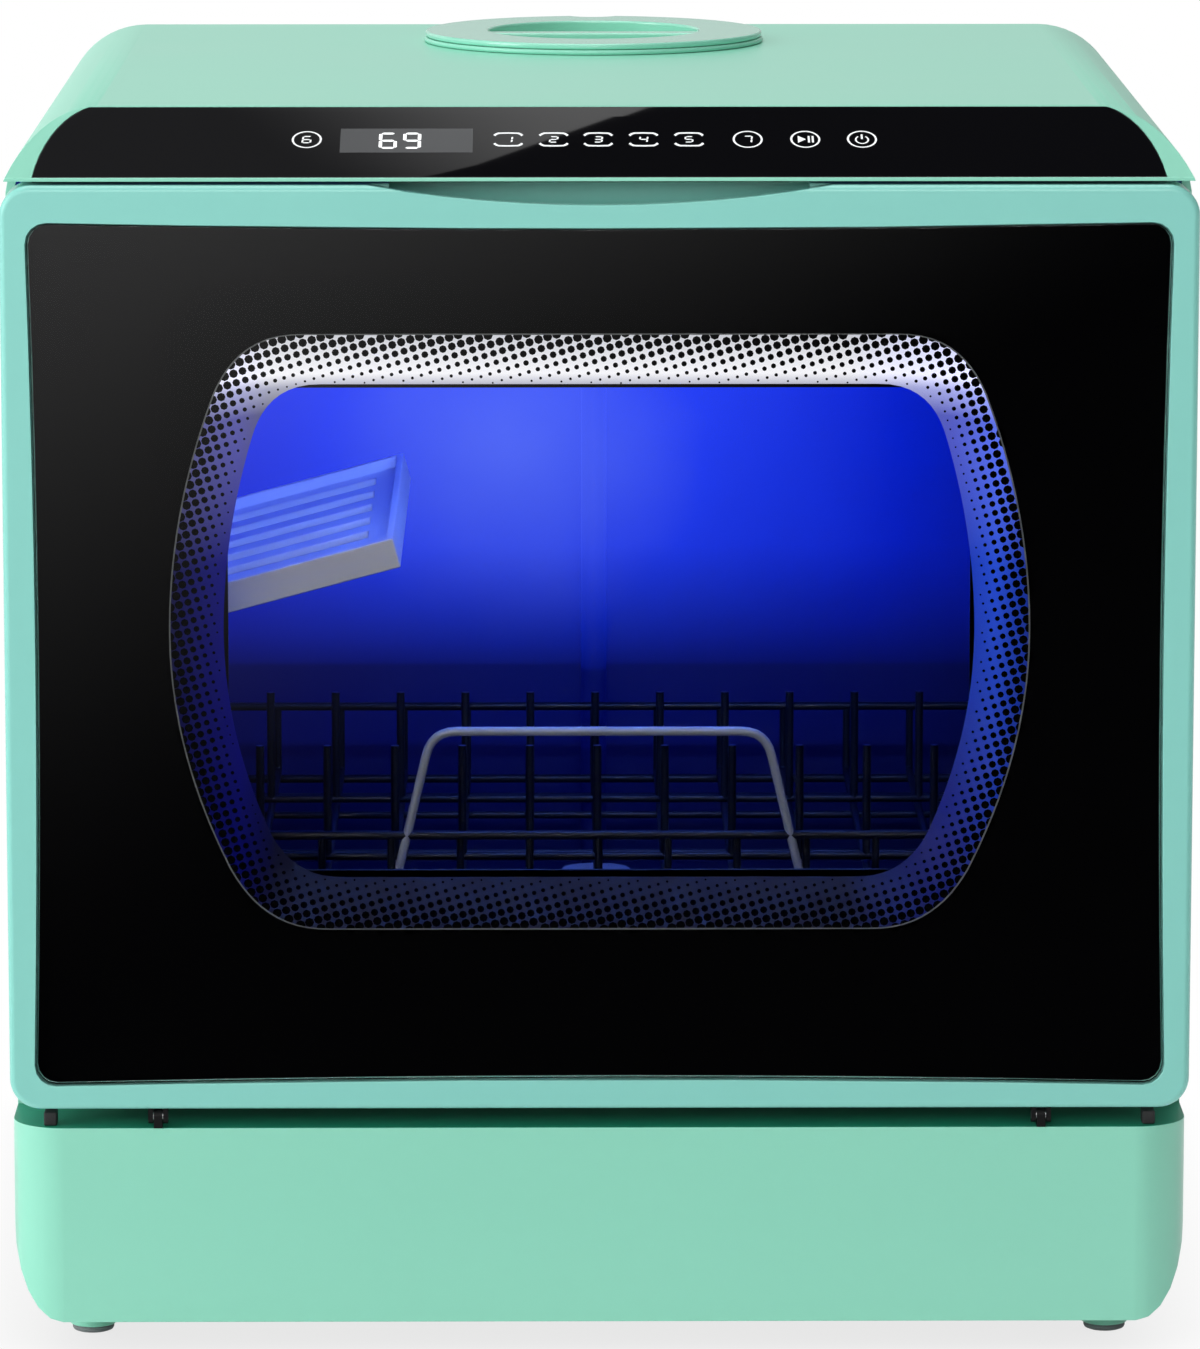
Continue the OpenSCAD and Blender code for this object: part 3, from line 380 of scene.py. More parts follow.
screw_low, screw_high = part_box("cover_screws")
steel = finish("steel", (0.58, 0.59, 0.61), 0.28, patches=0.12, grain=2500, relief=0.1, Metallic=1.0)
SCREW_HEAD, SCREW_RISE, MIDDLE_SCREW_Z = 3.4 * MM, 1.8 * MM, 251.5 * MM
SHANK_R, SHANK = 1.6 * MM, 6 * MM
screws = []
for side in (-1, 1):
    for height in (screw_low.z + SCREW_HEAD, MIDDLE_SCREW_Z, screw_high.z - SCREW_HEAD):
        screws.append(turned_piece("screw_%d" % len(screws), [
            (SHANK_R, -SHANK), (SHANK_R, 0), (SCREW_HEAD, 0), (SCREW_HEAD, 0.5 * SCREW_RISE),
            (0.86 * SCREW_HEAD, 0.88 * SCREW_RISE), (0.55 * SCREW_HEAD, SCREW_RISE),
            (0.5 * SCREW_HEAD, SCREW_RISE), (0.2 * SCREW_HEAD, 0.35 * SCREW_RISE)],
            (side * (screw_high.x - SCREW_HEAD), screw_high.y - SCREW_RISE, height), (0, 1, 0), turns=24))
        put_on(screws[-1], steel, "cabinet")
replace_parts(screws[0], "cover_screws")


# ---- Base ----
# A deep moulded tray that carries everything. Its sides and back are drawn in towards the foot.
# It stands on four grey rubber pads, and the deep shade on its deck under the door is painted in as a darker
# green.

base_shell = dress("base_tray", "base_shell", 0.9 * MM, case_plastic, "cabinet", "mint_plastic")
# Painted shade: upward faces just below the door get a darker green for the shade there.
deck_painted_shade = finish("deck_painted_shade", (0.012, 0.27, 0.16), 0.35, patches=0.1, relief=0.03,
                      Specular_IOR_Level=0.3)
base_shell.data.materials.append(deck_painted_shade)
door_low, door_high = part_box("door_frame")
DECK_DEPTH, FACES_UP = 12 * MM, 0.9
for face in base_shell.data.polygons:
    if face.normal.z > FACES_UP and door_low.z - DECK_DEPTH < face.center.z < door_low.z:
        face.material_index = 1
grey_rubber = finish("grey_rubber", (0.19, 0.20, 0.21), 0.75, patches=0.25, grain=1800, relief=0.5)
black_rubber = finish("black_rubber", (0.016, 0.016, 0.017), 0.7, patches=0.3, grain=1800, relief=0.5)
foot_low, foot_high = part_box("rubber_feet")
FOOT_R = 7.5 * MM
pads = []
for side in (-1, 1):
    for end in (foot_low.y + FOOT_R, foot_high.y - FOOT_R):
        pads.append(turned_piece("pad_%d" % len(pads), [
            (0.82 * FOOT_R, 0), (0.95 * FOOT_R, 0.4 * MM), (FOOT_R, 1.1 * MM), (FOOT_R, foot_high.z)],
            (side * (foot_high.x - FOOT_R), end, 0), (0, 0, 1)))
        put_on(pads[-1], grey_rubber, "cabinet")
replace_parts(pads[0], "rubber_feet")


# ---- Control strip ----
# A black glass strip bonded into the sloping hood, with a dark display window, lit digits and
# white printed touch keys. The keys carry plain numbers and signs.

hood_low, hood_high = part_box("outer_case")
HOOD_RISE, HOOD_RUN = 19.3 * MM, 64.5 * MM
SLOPE = math.atan2(HOOD_RISE, HOOD_RUN)
SLOPE_FOOT = Vector((0, hood_low.y, hood_high.z - HOOD_RISE))
UP_SLOPE = Vector((0, math.cos(SLOPE), math.sin(SLOPE)))
OFF_SLOPE = Vector((0, -math.sin(SLOPE), math.cos(SLOPE)))


def on_slope(across, up, lift):
    """A point on the hood's slope, in metres across, up the slope and off it"""
    return SLOPE_FOOT + Vector((across, 0, 0)) + UP_SLOPE * up + OFF_SLOPE * lift


strip_glass = finish("strip_glass", (0.004, 0.004, 0.005), 0.012, patches=0.2, relief=0.0, change=0.008)
dress("control_panel", "strip", 0.5 * MM, strip_glass, "cabinet", "panel_glass")


def printed(name, outlines, lift):
    """Flat shapes laid on the slope, each an outline or a (ring, inner ring) pair of outlines"""
    verts = []
    faces = []
    for shape in outlines:
        start = len(verts)
        if isinstance(shape, tuple):
            count = len(shape[0])
            verts += [on_slope(u * MM, v * MM, lift) for ring in shape for u, v in ring]
            for i in range(count):
                j = (i + 1) % count
                faces.append((start + i, start + j, start + count + j, start + count + i))
        else:
            verts += [on_slope(u * MM, v * MM, lift) for u, v in shape]
            faces.append(range(start, start + len(shape)))
    piece = mesh_piece(name, verts, faces)
    bm = bmesh.new()
    bm.from_mesh(piece.data)
    for face in bm.faces:
        face.normal_update()
        if face.normal.dot(OFF_SLOPE) < 0:
            face.normal_flip()
    bm.to_mesh(piece.data)
    bm.free()
    return piece


LEVEL_THICKER = 1.25


def oval(u, v, half_u, half_v, thick, start=0, end=360, steps=32):
    """A thin elliptical stroke, whole or in part, as quads"""
    closed = end - start == 360
    turns = [math.radians(start + (end - start) * i / steps) for i in range(steps + (0 if closed else 1))]
    outer = [(u + half_u * math.cos(t), v + half_v * math.sin(t)) for t in turns]
    inner_u, inner_v = half_u - thick, half_v - thick * LEVEL_THICKER
    inner = [(u + inner_u * math.cos(t), v + inner_v * math.sin(t)) for t in turns]
    if closed:
        return [(outer, inner)]
    return [outer + inner[::-1]]


def bar(u0, v0, u1, v1):
    """A rectangle's outline, from corner to corner"""
    return [(u0, v0), (u1, v0), (u1, v1), (u0, v1)]


STRIP_MIDDLE = 35.1
KEY_OVALS, KEY_BRACKETS = (-103.0, 52.4, 72.7, 92.7), (-32.0, -16.0, -0.3, 15.7, 31.7)
OVAL_U, OVAL_V, STROKE = 5.3, 7.8, 0.72
BRACKET_V, SHOULDER_V, HOOK_V, BRACKET_THICK, BRACKET_NARROW = 6.6, 5.6, 4.2, 1.25, 0.88
marks = []
for u in KEY_OVALS:
    marks += oval(u, STRIP_MIDDLE, OVAL_U, OVAL_V, STROKE, steps=48)
for u in KEY_BRACKETS:
    for side in (-1, 1):
        edge = STRIP_MIDDLE + side * BRACKET_V
        shoulder = STRIP_MIDDLE + side * SHOULDER_V
        hook = STRIP_MIDDLE + side * HOOK_V
        line = [(-5.3, hook), (-4.5, shoulder), (-3.6, edge - side * 0.2), (0, edge),
                (3.6, edge - side * 0.2), (4.5, shoulder), (5.3, hook)]
        back = [(x * BRACKET_NARROW, z - side * BRACKET_THICK) for x, z in reversed(line)]
        marks.append([(u + x, z) for x, z in line + back])
PLAIN_NUMBERS = {"1": "bc", "2": "abged", "3": "abgcd", "4": "fgbc", "5": "afgcd", "6": "afgedc",
                 "7": "abc", "9": "gfabcd"}
BAR_THICKER = 1.35


def segments(number, u, v, half_u, half_v, thick, gap, lean=0.0):
    """The lit bars of one seven-segment digit round a middle point, as slim hexagons"""
    high = thick * BAR_THICKER
    across = [(-half_u + gap, 0), (-half_u + gap + high / 2, high / 2), (half_u - gap - high / 2, high / 2),
              (half_u - gap, 0), (half_u - gap - high / 2, -high / 2), (-half_u + gap + high / 2, -high / 2)]
    tall = half_v / 2
    upright = [(0, -tall + gap), (thick / 2, -tall + gap + thick / 2), (thick / 2, tall - gap - thick / 2),
               (0, tall - gap), (-thick / 2, tall - gap - thick / 2), (-thick / 2, -tall + gap + thick / 2)]
    places = {"a": (across, 0, half_v), "g": (across, 0, 0), "d": (across, 0, -half_v),
              "f": (upright, -half_u, tall), "b": (upright, half_u, tall),
              "e": (upright, -half_u, -tall), "c": (upright, half_u, -tall)}
    shapes = []
    for letter in PLAIN_NUMBERS[number]:
        shape, du, dv = places[letter]
        shapes.append([(u + x + du + lean * (z + dv), v + z + dv) for x, z in shape])
    return shapes


for number, u in enumerate(KEY_BRACKETS, 1):
    marks += segments(str(number), u, STRIP_MIDDLE, 1.3, 2.5, 0.65, 0.1, 0.06)
SIX_U, SEVEN_U, START_U, POWER_U = KEY_OVALS
for number, u in (("6", SIX_U), ("7", SEVEN_U)):
    marks += segments(number, u, STRIP_MIDDLE, 1.4, 2.9, 0.65, 0.1, 0.06)
marks.append([(START_U - 2.6, STRIP_MIDDLE + 3.2), (START_U - 2.6, STRIP_MIDDLE - 3.2),
              (START_U + 0.2, STRIP_MIDDLE)])
for near, far in ((0.9, 1.6), (2.3, 3.0)):
    marks.append(bar(START_U + near, STRIP_MIDDLE - 3.0, START_U + far, STRIP_MIDDLE + 3.0))
marks += oval(POWER_U, STRIP_MIDDLE - 0.4, 2.5, 3.9, 0.6, 125, 415, 28)
marks.append(bar(POWER_U - 0.35, STRIP_MIDDLE + 0.2, POWER_U + 0.35, STRIP_MIDDLE + 4.4))
WINDOW_LIFT, KEYS_LIFT, DIGITS_LIFT = 0.04 * MM, 0.08 * MM, 0.1 * MM
# White print, with a faint painted glow in its emission.
print_white_painted_glow = finish("print_white_painted_glow", (0.8, 0.82, 0.82), 0.35, patches=0.05, relief=0.02,
                     Emission_Color=(0.9, 0.95, 1.0, 1), Emission_Strength=0.25)
put_on(printed("touch_keys", marks, KEYS_LIFT), print_white_painted_glow, "cabinet")

WINDOW_U, WINDOW_V = (-91.2, -44.5), (23.2, 45.3)
display_grey = finish("display_grey", (0.085, 0.088, 0.092), 0.16, patches=0.12, relief=0.0)
put_on(printed("display_window", [bar(WINDOW_U[0], WINDOW_V[0], WINDOW_U[1], WINDOW_V[1])], WINDOW_LIFT),
       display_grey, "cabinet")
lit_digits = finish("lit_digits", (0.85, 0.86, 0.86), 0.4, patches=0.05, relief=0.0,
                    Emission_Color=(0.95, 0.97, 1.0, 1), Emission_Strength=0.75)
DIGITS_V = 34.0
digits = []
for number, u in (("6", -74.4), ("9", -65.9)):
    digits += segments(number, u, DIGITS_V, 2.6, 6.6, 1.15, 0.25)
put_on(printed("display_digits", digits, DIGITS_LIFT), lit_digits, "cabinet")


# ---- Filling port ----
# A round collar on the case's top, closed by a moulded lid that lifts off. The lid has a
# sunken bowl with a bar across it for the fingers.

dress("fill_funnel", "collar", 0.8 * MM, case_plastic, "cabinet", "mint_plastic", segments=3)
lid_plastic = finish("lid_plastic", CASE_MINT, 0.2, patches=0.03, relief=0.02, Coat_Weight=0.4,
                     Coat_Roughness=0.08)
dress("fill_lid", "port_lid", 1.5 * MM, lid_plastic, "lid", "mint_plastic", segments=4)


# ---- Door frame ----
# A moulded frame in a bluer mint, softly rounded outside. A shallow scoop in its top edge, with
# a pocket behind it, is what the fingers pull the door open by.

DOOR_MINT = (0.235, 0.600, 0.530)
door_plastic = finish("door_plastic", DOOR_MINT, 0.25, patches=0.03, relief=0.03, Specular_IOR_Level=0.45)
RIM_ROUND, RIM_CORNER, TOUCH = 6 * MM, 11 * MM, 0.01 * MM


def on_front_rim(edge):
    """The edge runs round the outside of the frame's front face"""
    for point in (vert.co for vert in edge.verts):
        inset_x = door_high.x - abs(point.x)
        inset_z = min(door_high.z - point.z, point.z - door_low.z)
        if point.y > door_low.y + TOUCH or min(inset_x, inset_z) > RIM_CORNER:
            return False
        if min(inset_x, inset_z) > TOUCH and max(inset_x, inset_z) > RIM_CORNER:
            return False
    return True


dress("door_frame", "door_rim", 0.5 * MM, door_plastic, "door", "door_plastic",
      wide=RIM_ROUND, is_wide=on_front_rim, segments=5)


# ---- Front glass ----
# One clear pane with black enamel fired on its back. A barrel-shaped window is left in the
# enamel, ringed by a thin grey painted highlight line and a halftone of dots that shrink towards its middle.

glass_low, glass_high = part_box("door_glass")


def clear_glass(name, colour, ior):
    """Clear and perfectly smooth glass"""
    made, n, links, bsdf = bare_material(name)
    bsdf.inputs["Base Color"].default_value = (*colour, 1)
    bsdf.inputs["Roughness"].default_value = 0.0
    bsdf.inputs["IOR"].default_value = ior
    bsdf.inputs["Transmission Weight"].default_value = 1.0
    return made


dress("door_glass", "front_pane", 0.4 * MM, clear_glass("clear_front", (1, 1, 1), 1.45),
      "door", "door_glass")


SIDE_STEPS = 10


def barrel(half, low, high, belly_low, belly_high, corner):
    """Outline with level ends, sides that swell to half at mid height, and round corners"""
    middle = (low + high) / 2
    tall = (high - low) / 2
    right = []
    for belly, turn in ((belly_low, -1), (belly_high, 1)):
        cut = 1 - corner / tall
        side = [(half - belly * (cut * i / SIDE_STEPS) ** 2, middle + turn * tall * cut * i / SIDE_STEPS)
                for i in range(SIDE_STEPS + 1)]
        tip = (half - belly, middle + turn * tall)
        end = (tip[0] - corner, tip[1])
        bend = []
        for i in range(1, SIDE_STEPS + 1):
            t = i / SIDE_STEPS
            bend.append(tuple((1 - t) ** 2 * a + 2 * t * (1 - t) * b + t ** 2 * c
                              for a, b, c in zip(side[-1], tip, end)))
        right.append(side + bend)
    loop = right[0][::-1] + right[1][1:]
    return loop + [(-x, z) for x, z in reversed(loop)]


def reach(outline, middle, angle):
    """How far the outline is from the middle in one direction"""
    dx, dz = math.cos(angle), math.sin(angle)
    for (x0, z0), (x1, z1) in zip(outline, outline[1:] + outline[:1]):
        x0, x1, z0, z1 = x0 - middle[0], x1 - middle[0], z0 - middle[1], z1 - middle[1]
        across0, across1 = x0 * dz - z0 * dx, x1 * dz - z1 * dx
        if across0 * across1 <= 0 and across0 != across1:
            share = across0 / (across0 - across1)
            far = (x0 + share * (x1 - x0)) * dx + (z0 + share * (z1 - z0)) * dz
            if far > 0:
                return far
    return 0.0


def ring_points(outline, middle, angles, grow=0.0):
    """The outline's points in these directions from its middle, moved outwards by grow"""
    points = []
    for angle in angles:
        far = reach(outline, middle, angle) + grow
        points.append((middle[0] + far * math.cos(angle), middle[1] + far * math.sin(angle)))
    return points


WINDOW_MIDDLE = (0.0, 261 * MM)
WINDOW_POINTS = 288
ROUND = [2 * math.pi * (i + 0.5) / WINDOW_POINTS for i in range(WINDOW_POINTS)]
OUTER_CURVE, INNER_CURVE = (33 * MM, 25 * MM, 21 * MM), (24 * MM, 17 * MM, 17 * MM)
window_line = barrel(151.2 * MM, 154.8 * MM, 366.6 * MM, *OUTER_CURVE)
GLASS_INSET = 0.6 * MM
pane_edge = []
for vert in nodes["door_glass"].data.vertices:
    if vert.co.y < glass_low.y + TOUCH:
        pane_edge.append((vert.co.x, vert.co.z))
pane_edge = sorted(set(pane_edge), key=lambda p: math.atan2(p[1] - WINDOW_MIDDLE[1], p[0]))
corner_angles = [math.atan2(z - WINDOW_MIDDLE[1], x) % (2 * math.pi) for x, z in pane_edge]
border_angles = sorted(ROUND + corner_angles)


def strip_between(name, inner, outer, y_inner, y_outer):
    """A closed band between two rings with as many points each, facing the front"""
    count = len(inner)
    verts = [(x, y_inner, z) for x, z in inner] + [(x, y_outer, z) for x, z in outer]
    faces = [(i, (i + 1) % count, count + (i + 1) % count, count + i) for i in range(count)]
    return mesh_piece(name, verts, faces)


ENAMEL_Y = glass_high.y - 0.35 * MM
black_enamel = finish("black_enamel", (0.0025, 0.0025, 0.003), 0.5, patches=0.2, relief=0.0,
                      Specular_IOR_Level=0.0)
put_on(strip_between("enamel_border", ring_points(window_line, WINDOW_MIDDLE, border_angles),
                     ring_points(pane_edge, WINDOW_MIDDLE, border_angles, -GLASS_INSET), ENAMEL_Y, ENAMEL_Y),
       black_enamel, "door")
LINE_INSIDE, LINE_OUTSIDE, LINE_Y = -0.1 * MM, 0.45 * MM, ENAMEL_Y - 0.02 * MM
# Painted highlight: a thin grey line stands for light caught along the window's edge in the glass.
edge_painted_highlight = finish("edge_painted_highlight", (0.16, 0.17, 0.17), 0.4, patches=0.4, patch_scale=5, relief=0.0)
put_on(strip_between("window_line", ring_points(window_line, WINDOW_MIDDLE, ROUND, LINE_INSIDE),
                     ring_points(window_line, WINDOW_MIDDLE, ROUND, LINE_OUTSIDE), LINE_Y, LINE_Y),
       edge_painted_highlight, "door")

DOT_PITCH, DOT_LEAN, DOT_SIDES = 3.3 * MM, math.radians(17), 8
DOT_LARGE, DOT_SMALL = 1.72 * MM, 0.34 * MM
DOT_GRID, DOTS_X, DOTS_Z = 400 * MM, 156 * MM, 112 * MM
FIRST_SHARE, LAST_SHARE, DOT_FADE = -0.02, 1.04, 0.8
clear_line = barrel(134.4 * MM, 172.2 * MM, 349.8 * MM, *INNER_CURVE)
dot_verts = []
dot_faces = []
steps = int(DOT_GRID / DOT_PITCH)
for i in range(-steps, steps + 1):
    for j in range(-steps, steps + 1):
        a, b = i * DOT_PITCH, j * DOT_PITCH
        x = a * math.cos(DOT_LEAN) - b * math.sin(DOT_LEAN)
        z = WINDOW_MIDDLE[1] + a * math.sin(DOT_LEAN) + b * math.cos(DOT_LEAN)
        if abs(x) > DOTS_X or abs(z - WINDOW_MIDDLE[1]) > DOTS_Z:
            continue
        angle = math.atan2(z - WINDOW_MIDDLE[1], x) % (2 * math.pi)
        far = math.hypot(x, z - WINDOW_MIDDLE[1])
        inside = reach(clear_line, WINDOW_MIDDLE, angle)
        outside = reach(window_line, WINDOW_MIDDLE, angle)
        share = (far - inside) / (outside - inside)
        if FIRST_SHARE < share < LAST_SHARE:
            radius = DOT_SMALL + (DOT_LARGE - DOT_SMALL) * min(1, max(0, share)) ** DOT_FADE
            start = len(dot_verts)
            dot_verts += [(x + radius * math.cos(2 * math.pi * k / DOT_SIDES), ENAMEL_Y,
                           z + radius * math.sin(2 * math.pi * k / DOT_SIDES)) for k in range(DOT_SIDES)]
            dot_faces.append(range(start, start + DOT_SIDES))
put_on(mesh_piece("enamel_dots", dot_verts, dot_faces), black_enamel, "door")


# ---- Window bezel and inner pane ----
# A dark moulded funnel between the two panes. The chamber's light and reflections on it are painted in as
# glow, white along the top, blue at the sides and weak below. The inner pane is clamped behind it on a black
# gasket.

bezel_low, bezel_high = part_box("window_bezel")
bezel_painted_light, n, links, bsdf = bare_material("bezel_painted_light")
skin_on(n, links, bsdf, {"Colour": (0.005, 0.005, 0.006, 1), "Roughness": 0.4})
bsdf.inputs["Specular IOR Level"].default_value = 0.2
# Painted light and reflection: the emission is laid on by position, white along the top, blue at the sides,
# fading downwards.
bezel_place = n.new("ShaderNodeTexCoord")
bezel_split = n.new("ShaderNodeSeparateXYZ")
links.new(bezel_place.outputs["Object"], bezel_split.inputs[0])


def ramp_of(n, links, value, low, high, stops):
    """A colour that changes along a value between low and high, through stops of (share, colour)"""
    spread = n.new("ShaderNodeMapRange")
    spread.inputs["From Min"].default_value = low
    spread.inputs["From Max"].default_value = high
    links.new(value, spread.inputs["Value"])
    ramp = n.new("ShaderNodeValToRGB")
    links.new(spread.outputs[0], ramp.inputs["Fac"])
    elements = ramp.color_ramp.elements
    for index, (share, colour) in enumerate(stops):
        element = elements[index] if index < 2 else elements.new(share)
        element.position = share
        element.color = (*colour, 1)
    return ramp.outputs["Color"]


BEZEL_LOW, BEZEL_HIGH, BEZEL_HALF = 150 * MM, 370 * MM, 156 * MM
painted_top_light = ramp_of(n, links, bezel_split.outputs["Z"], BEZEL_LOW, BEZEL_HIGH, [
    (0.0, (0.0, 0.0, 0.0)), (1.0, (0.55, 0.56, 0.6)), (0.6, (0.002, 0.002, 0.004)),
    (0.84, (0.10, 0.10, 0.14)), (0.885, (0.4, 0.41, 0.5)), (0.91, (0.98, 0.98, 1.0))])
painted_side_light = ramp_of(n, links, bezel_split.outputs["X"], -BEZEL_HALF, BEZEL_HALF, [
    (0.0, (0.0, 0.0, 0.0)), (1.0, (0.0, 0.005, 0.12)), (0.09, (0.0, 0.0, 0.25)), (0.13, (0.0, 0.0, 0.02)),
    (0.78, (0.0, 0.0, 0.02)), (0.9, (0.0, 0.02, 0.45)), (0.95, (0.02, 0.09, 0.8))])
painted_light_fade_down = ramp_of(n, links, bezel_split.outputs["Z"], BEZEL_LOW, BEZEL_HIGH, [
    (0.0, (0.12, 0.12, 0.15)), (1.0, (0.6, 0.6, 0.6)), (0.25, (0.3, 0.3, 0.35)), (0.8, (1, 1, 1))])
painted_side_light_faded = n.new("ShaderNodeVectorMath")
painted_side_light_faded.operation = "MULTIPLY"
links.new(painted_side_light, painted_side_light_faded.inputs[0])
links.new(painted_light_fade_down, painted_side_light_faded.inputs[1])
bezel_painted_glow = n.new("ShaderNodeVectorMath")
links.new(painted_top_light, bezel_painted_glow.inputs[0])
links.new(painted_side_light_faded.outputs[0], bezel_painted_glow.inputs[1])
links.new(bezel_painted_glow.outputs[0], bsdf.inputs["Emission Color"])
bsdf.inputs["Emission Strength"].default_value = 1.0
bezel_front = barrel(152.5 * MM, 153.4 * MM, 368.0 * MM, *OUTER_CURVE)
bezel_back = barrel(133.5 * MM, 168.0 * MM, 345.6 * MM, *INNER_CURVE)
bezel = strip_between("bezel", ring_points(bezel_back, WINDOW_MIDDLE, ROUND),
                      ring_points(bezel_front, WINDOW_MIDDLE, ROUND), bezel_high.y, bezel_low.y)
for face in bezel.data.polygons:
    face.use_smooth = True
put_on(bezel, bezel_painted_light, "door")
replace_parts(bezel, "window_bezel")

dress("inner_window", "inner_pane", 0.3 * MM, clear_glass("clear_inner", (0.97, 0.98, 1), 1.2),
      "door", "clear_glass", segments=1)
repaint(black_rubber, "window_gasket")


# ---- Door liner ----
# The door's inner skin, a pale pressed sheet with a rounded opening round the inner pane.

pale_plastic = finish("pale_plastic", (0.52, 0.54, 0.56), 0.38, patches=0.06, relief=0.08)
dress("door_liner", "liner", 0.5 * MM, pale_plastic, "door", "white_plastic")


# ---- Hinges ----
# Black steel ears under the door turn on pins in the tongues that stand on the base's deck.
# Two rubber blocks at the corners take the door's weight when it is shut.

hinge_black = finish("hinge_black", (0.004, 0.004, 0.0045), 0.5, patches=0.3, grain=1600, relief=0.2,
                     Specular_IOR_Level=0.15)
repaint(hinge_black, "door_clevises", "hinge_brackets")
repaint(steel, "hinge_pins")
dress("door_bumpers", "bumpers", 0.6 * MM, black_rubber, "cabinet", "rubber")


# ---- Wash chamber ----
# A welded satin steel tub, open to the front, its colour painted near black as shade. The blue lamp in its
# roof is painted on as glow, strongest high on the back wall and dying away in steps towards the floor.

# Painted shade: the steel's colour is a near black blue for the dim chamber.
tub_steel, n, links, bsdf = bare_material("tub_steel")
skin_on(n, links, bsdf, {"Colour": (0.006, 0.008, 0.03, 1), "Patches": 0.25, "Patch scale": 6.0,
                         "Roughness": 0.42, "Roughness change": 0.15})
bsdf.inputs["Specular IOR Level"].default_value = 0.12
# Painted light: the roof lamp's glow is laid into the emission, brightest high on the back wall.
tub_place = n.new("ShaderNodeTexCoord")
glow_centre = n.new("ShaderNodeMapping")
glow_centre.inputs["Location"].default_value = (0.14, -0.22, -1.3)
glow_centre.inputs["Scale"].default_value = (4.6, 2.0, 4.7)
links.new(tub_place.outputs["Object"], glow_centre.inputs["Vector"])
glow_far = n.new("ShaderNodeVectorMath")
glow_far.operation = "LENGTH"
links.new(glow_centre.outputs[0], glow_far.inputs[0])
uneven = maths(n, links, "MULTIPLY_ADD", noise(n, links, tub_place.outputs["Object"], 11, 4), 0.22,
               glow_far.outputs["Value"])
glow = ramp_of(n, links, uneven, 0.1, 1.35, [
    (0.0, (0.10, 0.17, 1.0)), (1.0, (0.0, 0.0, 0.035)), (0.28, (0.012, 0.045, 0.92)),
    (0.55, (0.0, 0.012, 0.62)), (0.8, (0.0, 0.002, 0.20))])
tub_split = n.new("ShaderNodeSeparateXYZ")
links.new(tub_place.outputs["Object"], tub_split.inputs[0])
# Painted shade: the glow is stepped darker below the rack's top and towards the floor.
painted_shade_down = ramp_of(n, links, tub_split.outputs["Z"], 0.1, 0.3, [
    (0.0, (0.01, 0.01, 0.02)), (1.0, (1, 1, 1)), (0.295, (0.02, 0.02, 0.05)), (0.305, (0.04, 0.04, 0.08)),
    (0.456, (0.05, 0.05, 0.09)), (0.464, (0.12, 0.12, 0.17)), (0.7, (0.8, 0.8, 0.85))])
painted_light_shaded = n.new("ShaderNodeVectorMath")
painted_light_shaded.operation = "MULTIPLY"
links.new(glow, painted_light_shaded.inputs[0])
links.new(painted_shade_down, painted_light_shaded.inputs[1])
links.new(painted_light_shaded.outputs[0], bsdf.inputs["Emission Color"])
bsdf.inputs["Emission Strength"].default_value = 1.0
repaint(tub_steel, "tub", "feed_pipe")

lens_low, lens_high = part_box("light_lens")
lamp("chamber_lamp", ((lens_low.x + lens_high.x) / 2, lens_low.y + 20 * MM, lens_low.z - 2 * MM),
     (0, 0.02, 0.15), 220 * MM, 10 * MM, 1.1, (0.12, 0.25, 1.0))
blue_lens, n, links, bsdf = bare_material("blue_lens")
bsdf.inputs["Base Color"].default_value = (0.2, 0.3, 0.9, 1)
bsdf.inputs["Roughness"].default_value = 0.3
lens_split = n.new("ShaderNodeSeparateXYZ")
links.new(n.new("ShaderNodeTexCoord").outputs["Object"], lens_split.inputs[0])
links.new(ramp_of(n, links, lens_split.outputs["X"], lens_low.x, lens_high.x, [
    (0.0, (0.1, 0.2, 0.9)), (1.0, (0.1, 0.2, 0.9)), (0.5, (0.5, 0.65, 1.0))]), bsdf.inputs["Emission Color"])
bsdf.inputs["Emission Strength"].default_value = 1.2
repaint(blue_lens, "light_lens")
repaint(black_rubber, "door_seal")


# ---- Rack ----
# A basket of round plastic-coated wires: a flat floor, low sides, two rows of tines and a
# handle bent up out of its front. All the wires but the handle's are painted dark as shade.

rack_low, rack_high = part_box("rack_frame")
floor_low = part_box("rack_floor")[0]
tine_low, tine_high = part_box("rack_tines")
WIRE_R, BEND_STEPS, FLOOR_BEND, HANDLE_BEND = 1.7 * MM, 6, 3 * MM, 9 * MM
FLOOR_WIRE, RIM_WIRE, TINE_WIRE = 0.82 * WIRE_R, 0.95 * WIRE_R, 0.9 * WIRE_R
coated_wire = finish("coated_wire", (0.30, 0.32, 0.35), 0.25, patches=0.2, grain=1500, relief=0.15,
                     Coat_Weight=0.5, Coat_Roughness=0.15)
# Painted shade: the same coated wire, painted near black where it sits low in the dark chamber.
wire_painted_shade = finish("wire_painted_shade", (0.006, 0.007, 0.010), 0.35, patches=0.2, grain=1500, relief=0.1,
                   Specular_IOR_Level=0.15)


def bent_wires(name, runs, radius, paint, body, turn=0.0):
    """Round wires along lists of points, with bends of radius turn, as one curve piece"""
    data = bpy.data.curves.new(name, "CURVE")
    data.dimensions = "3D"
    data.bevel_depth = radius
    data.bevel_resolution = 3
    data.use_fill_caps = True
    for run in runs:
        path = [Vector(run[0])]
        for before, here, after in zip(run, run[1:], run[2:]):
            here = Vector(here)
            back = (Vector(before) - here).normalized() * turn
            on = (Vector(after) - here).normalized() * turn
            for t in range(BEND_STEPS + 1):
                share = t / BEND_STEPS
                path.append(here + back * (1 - share) ** 2 + on * share ** 2)
        path.append(Vector(run[-1]))
        spline = data.splines.new("POLY")
        spline.points.add(len(path) - 1)
        for point, place in zip(spline.points, path):
            point.co = (*place, 1)
    wires = bpy.data.objects.new(name, data)
    scene.collection.objects.link(wires)
    data.materials.append(paint)
    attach(wires, body)
    return wires


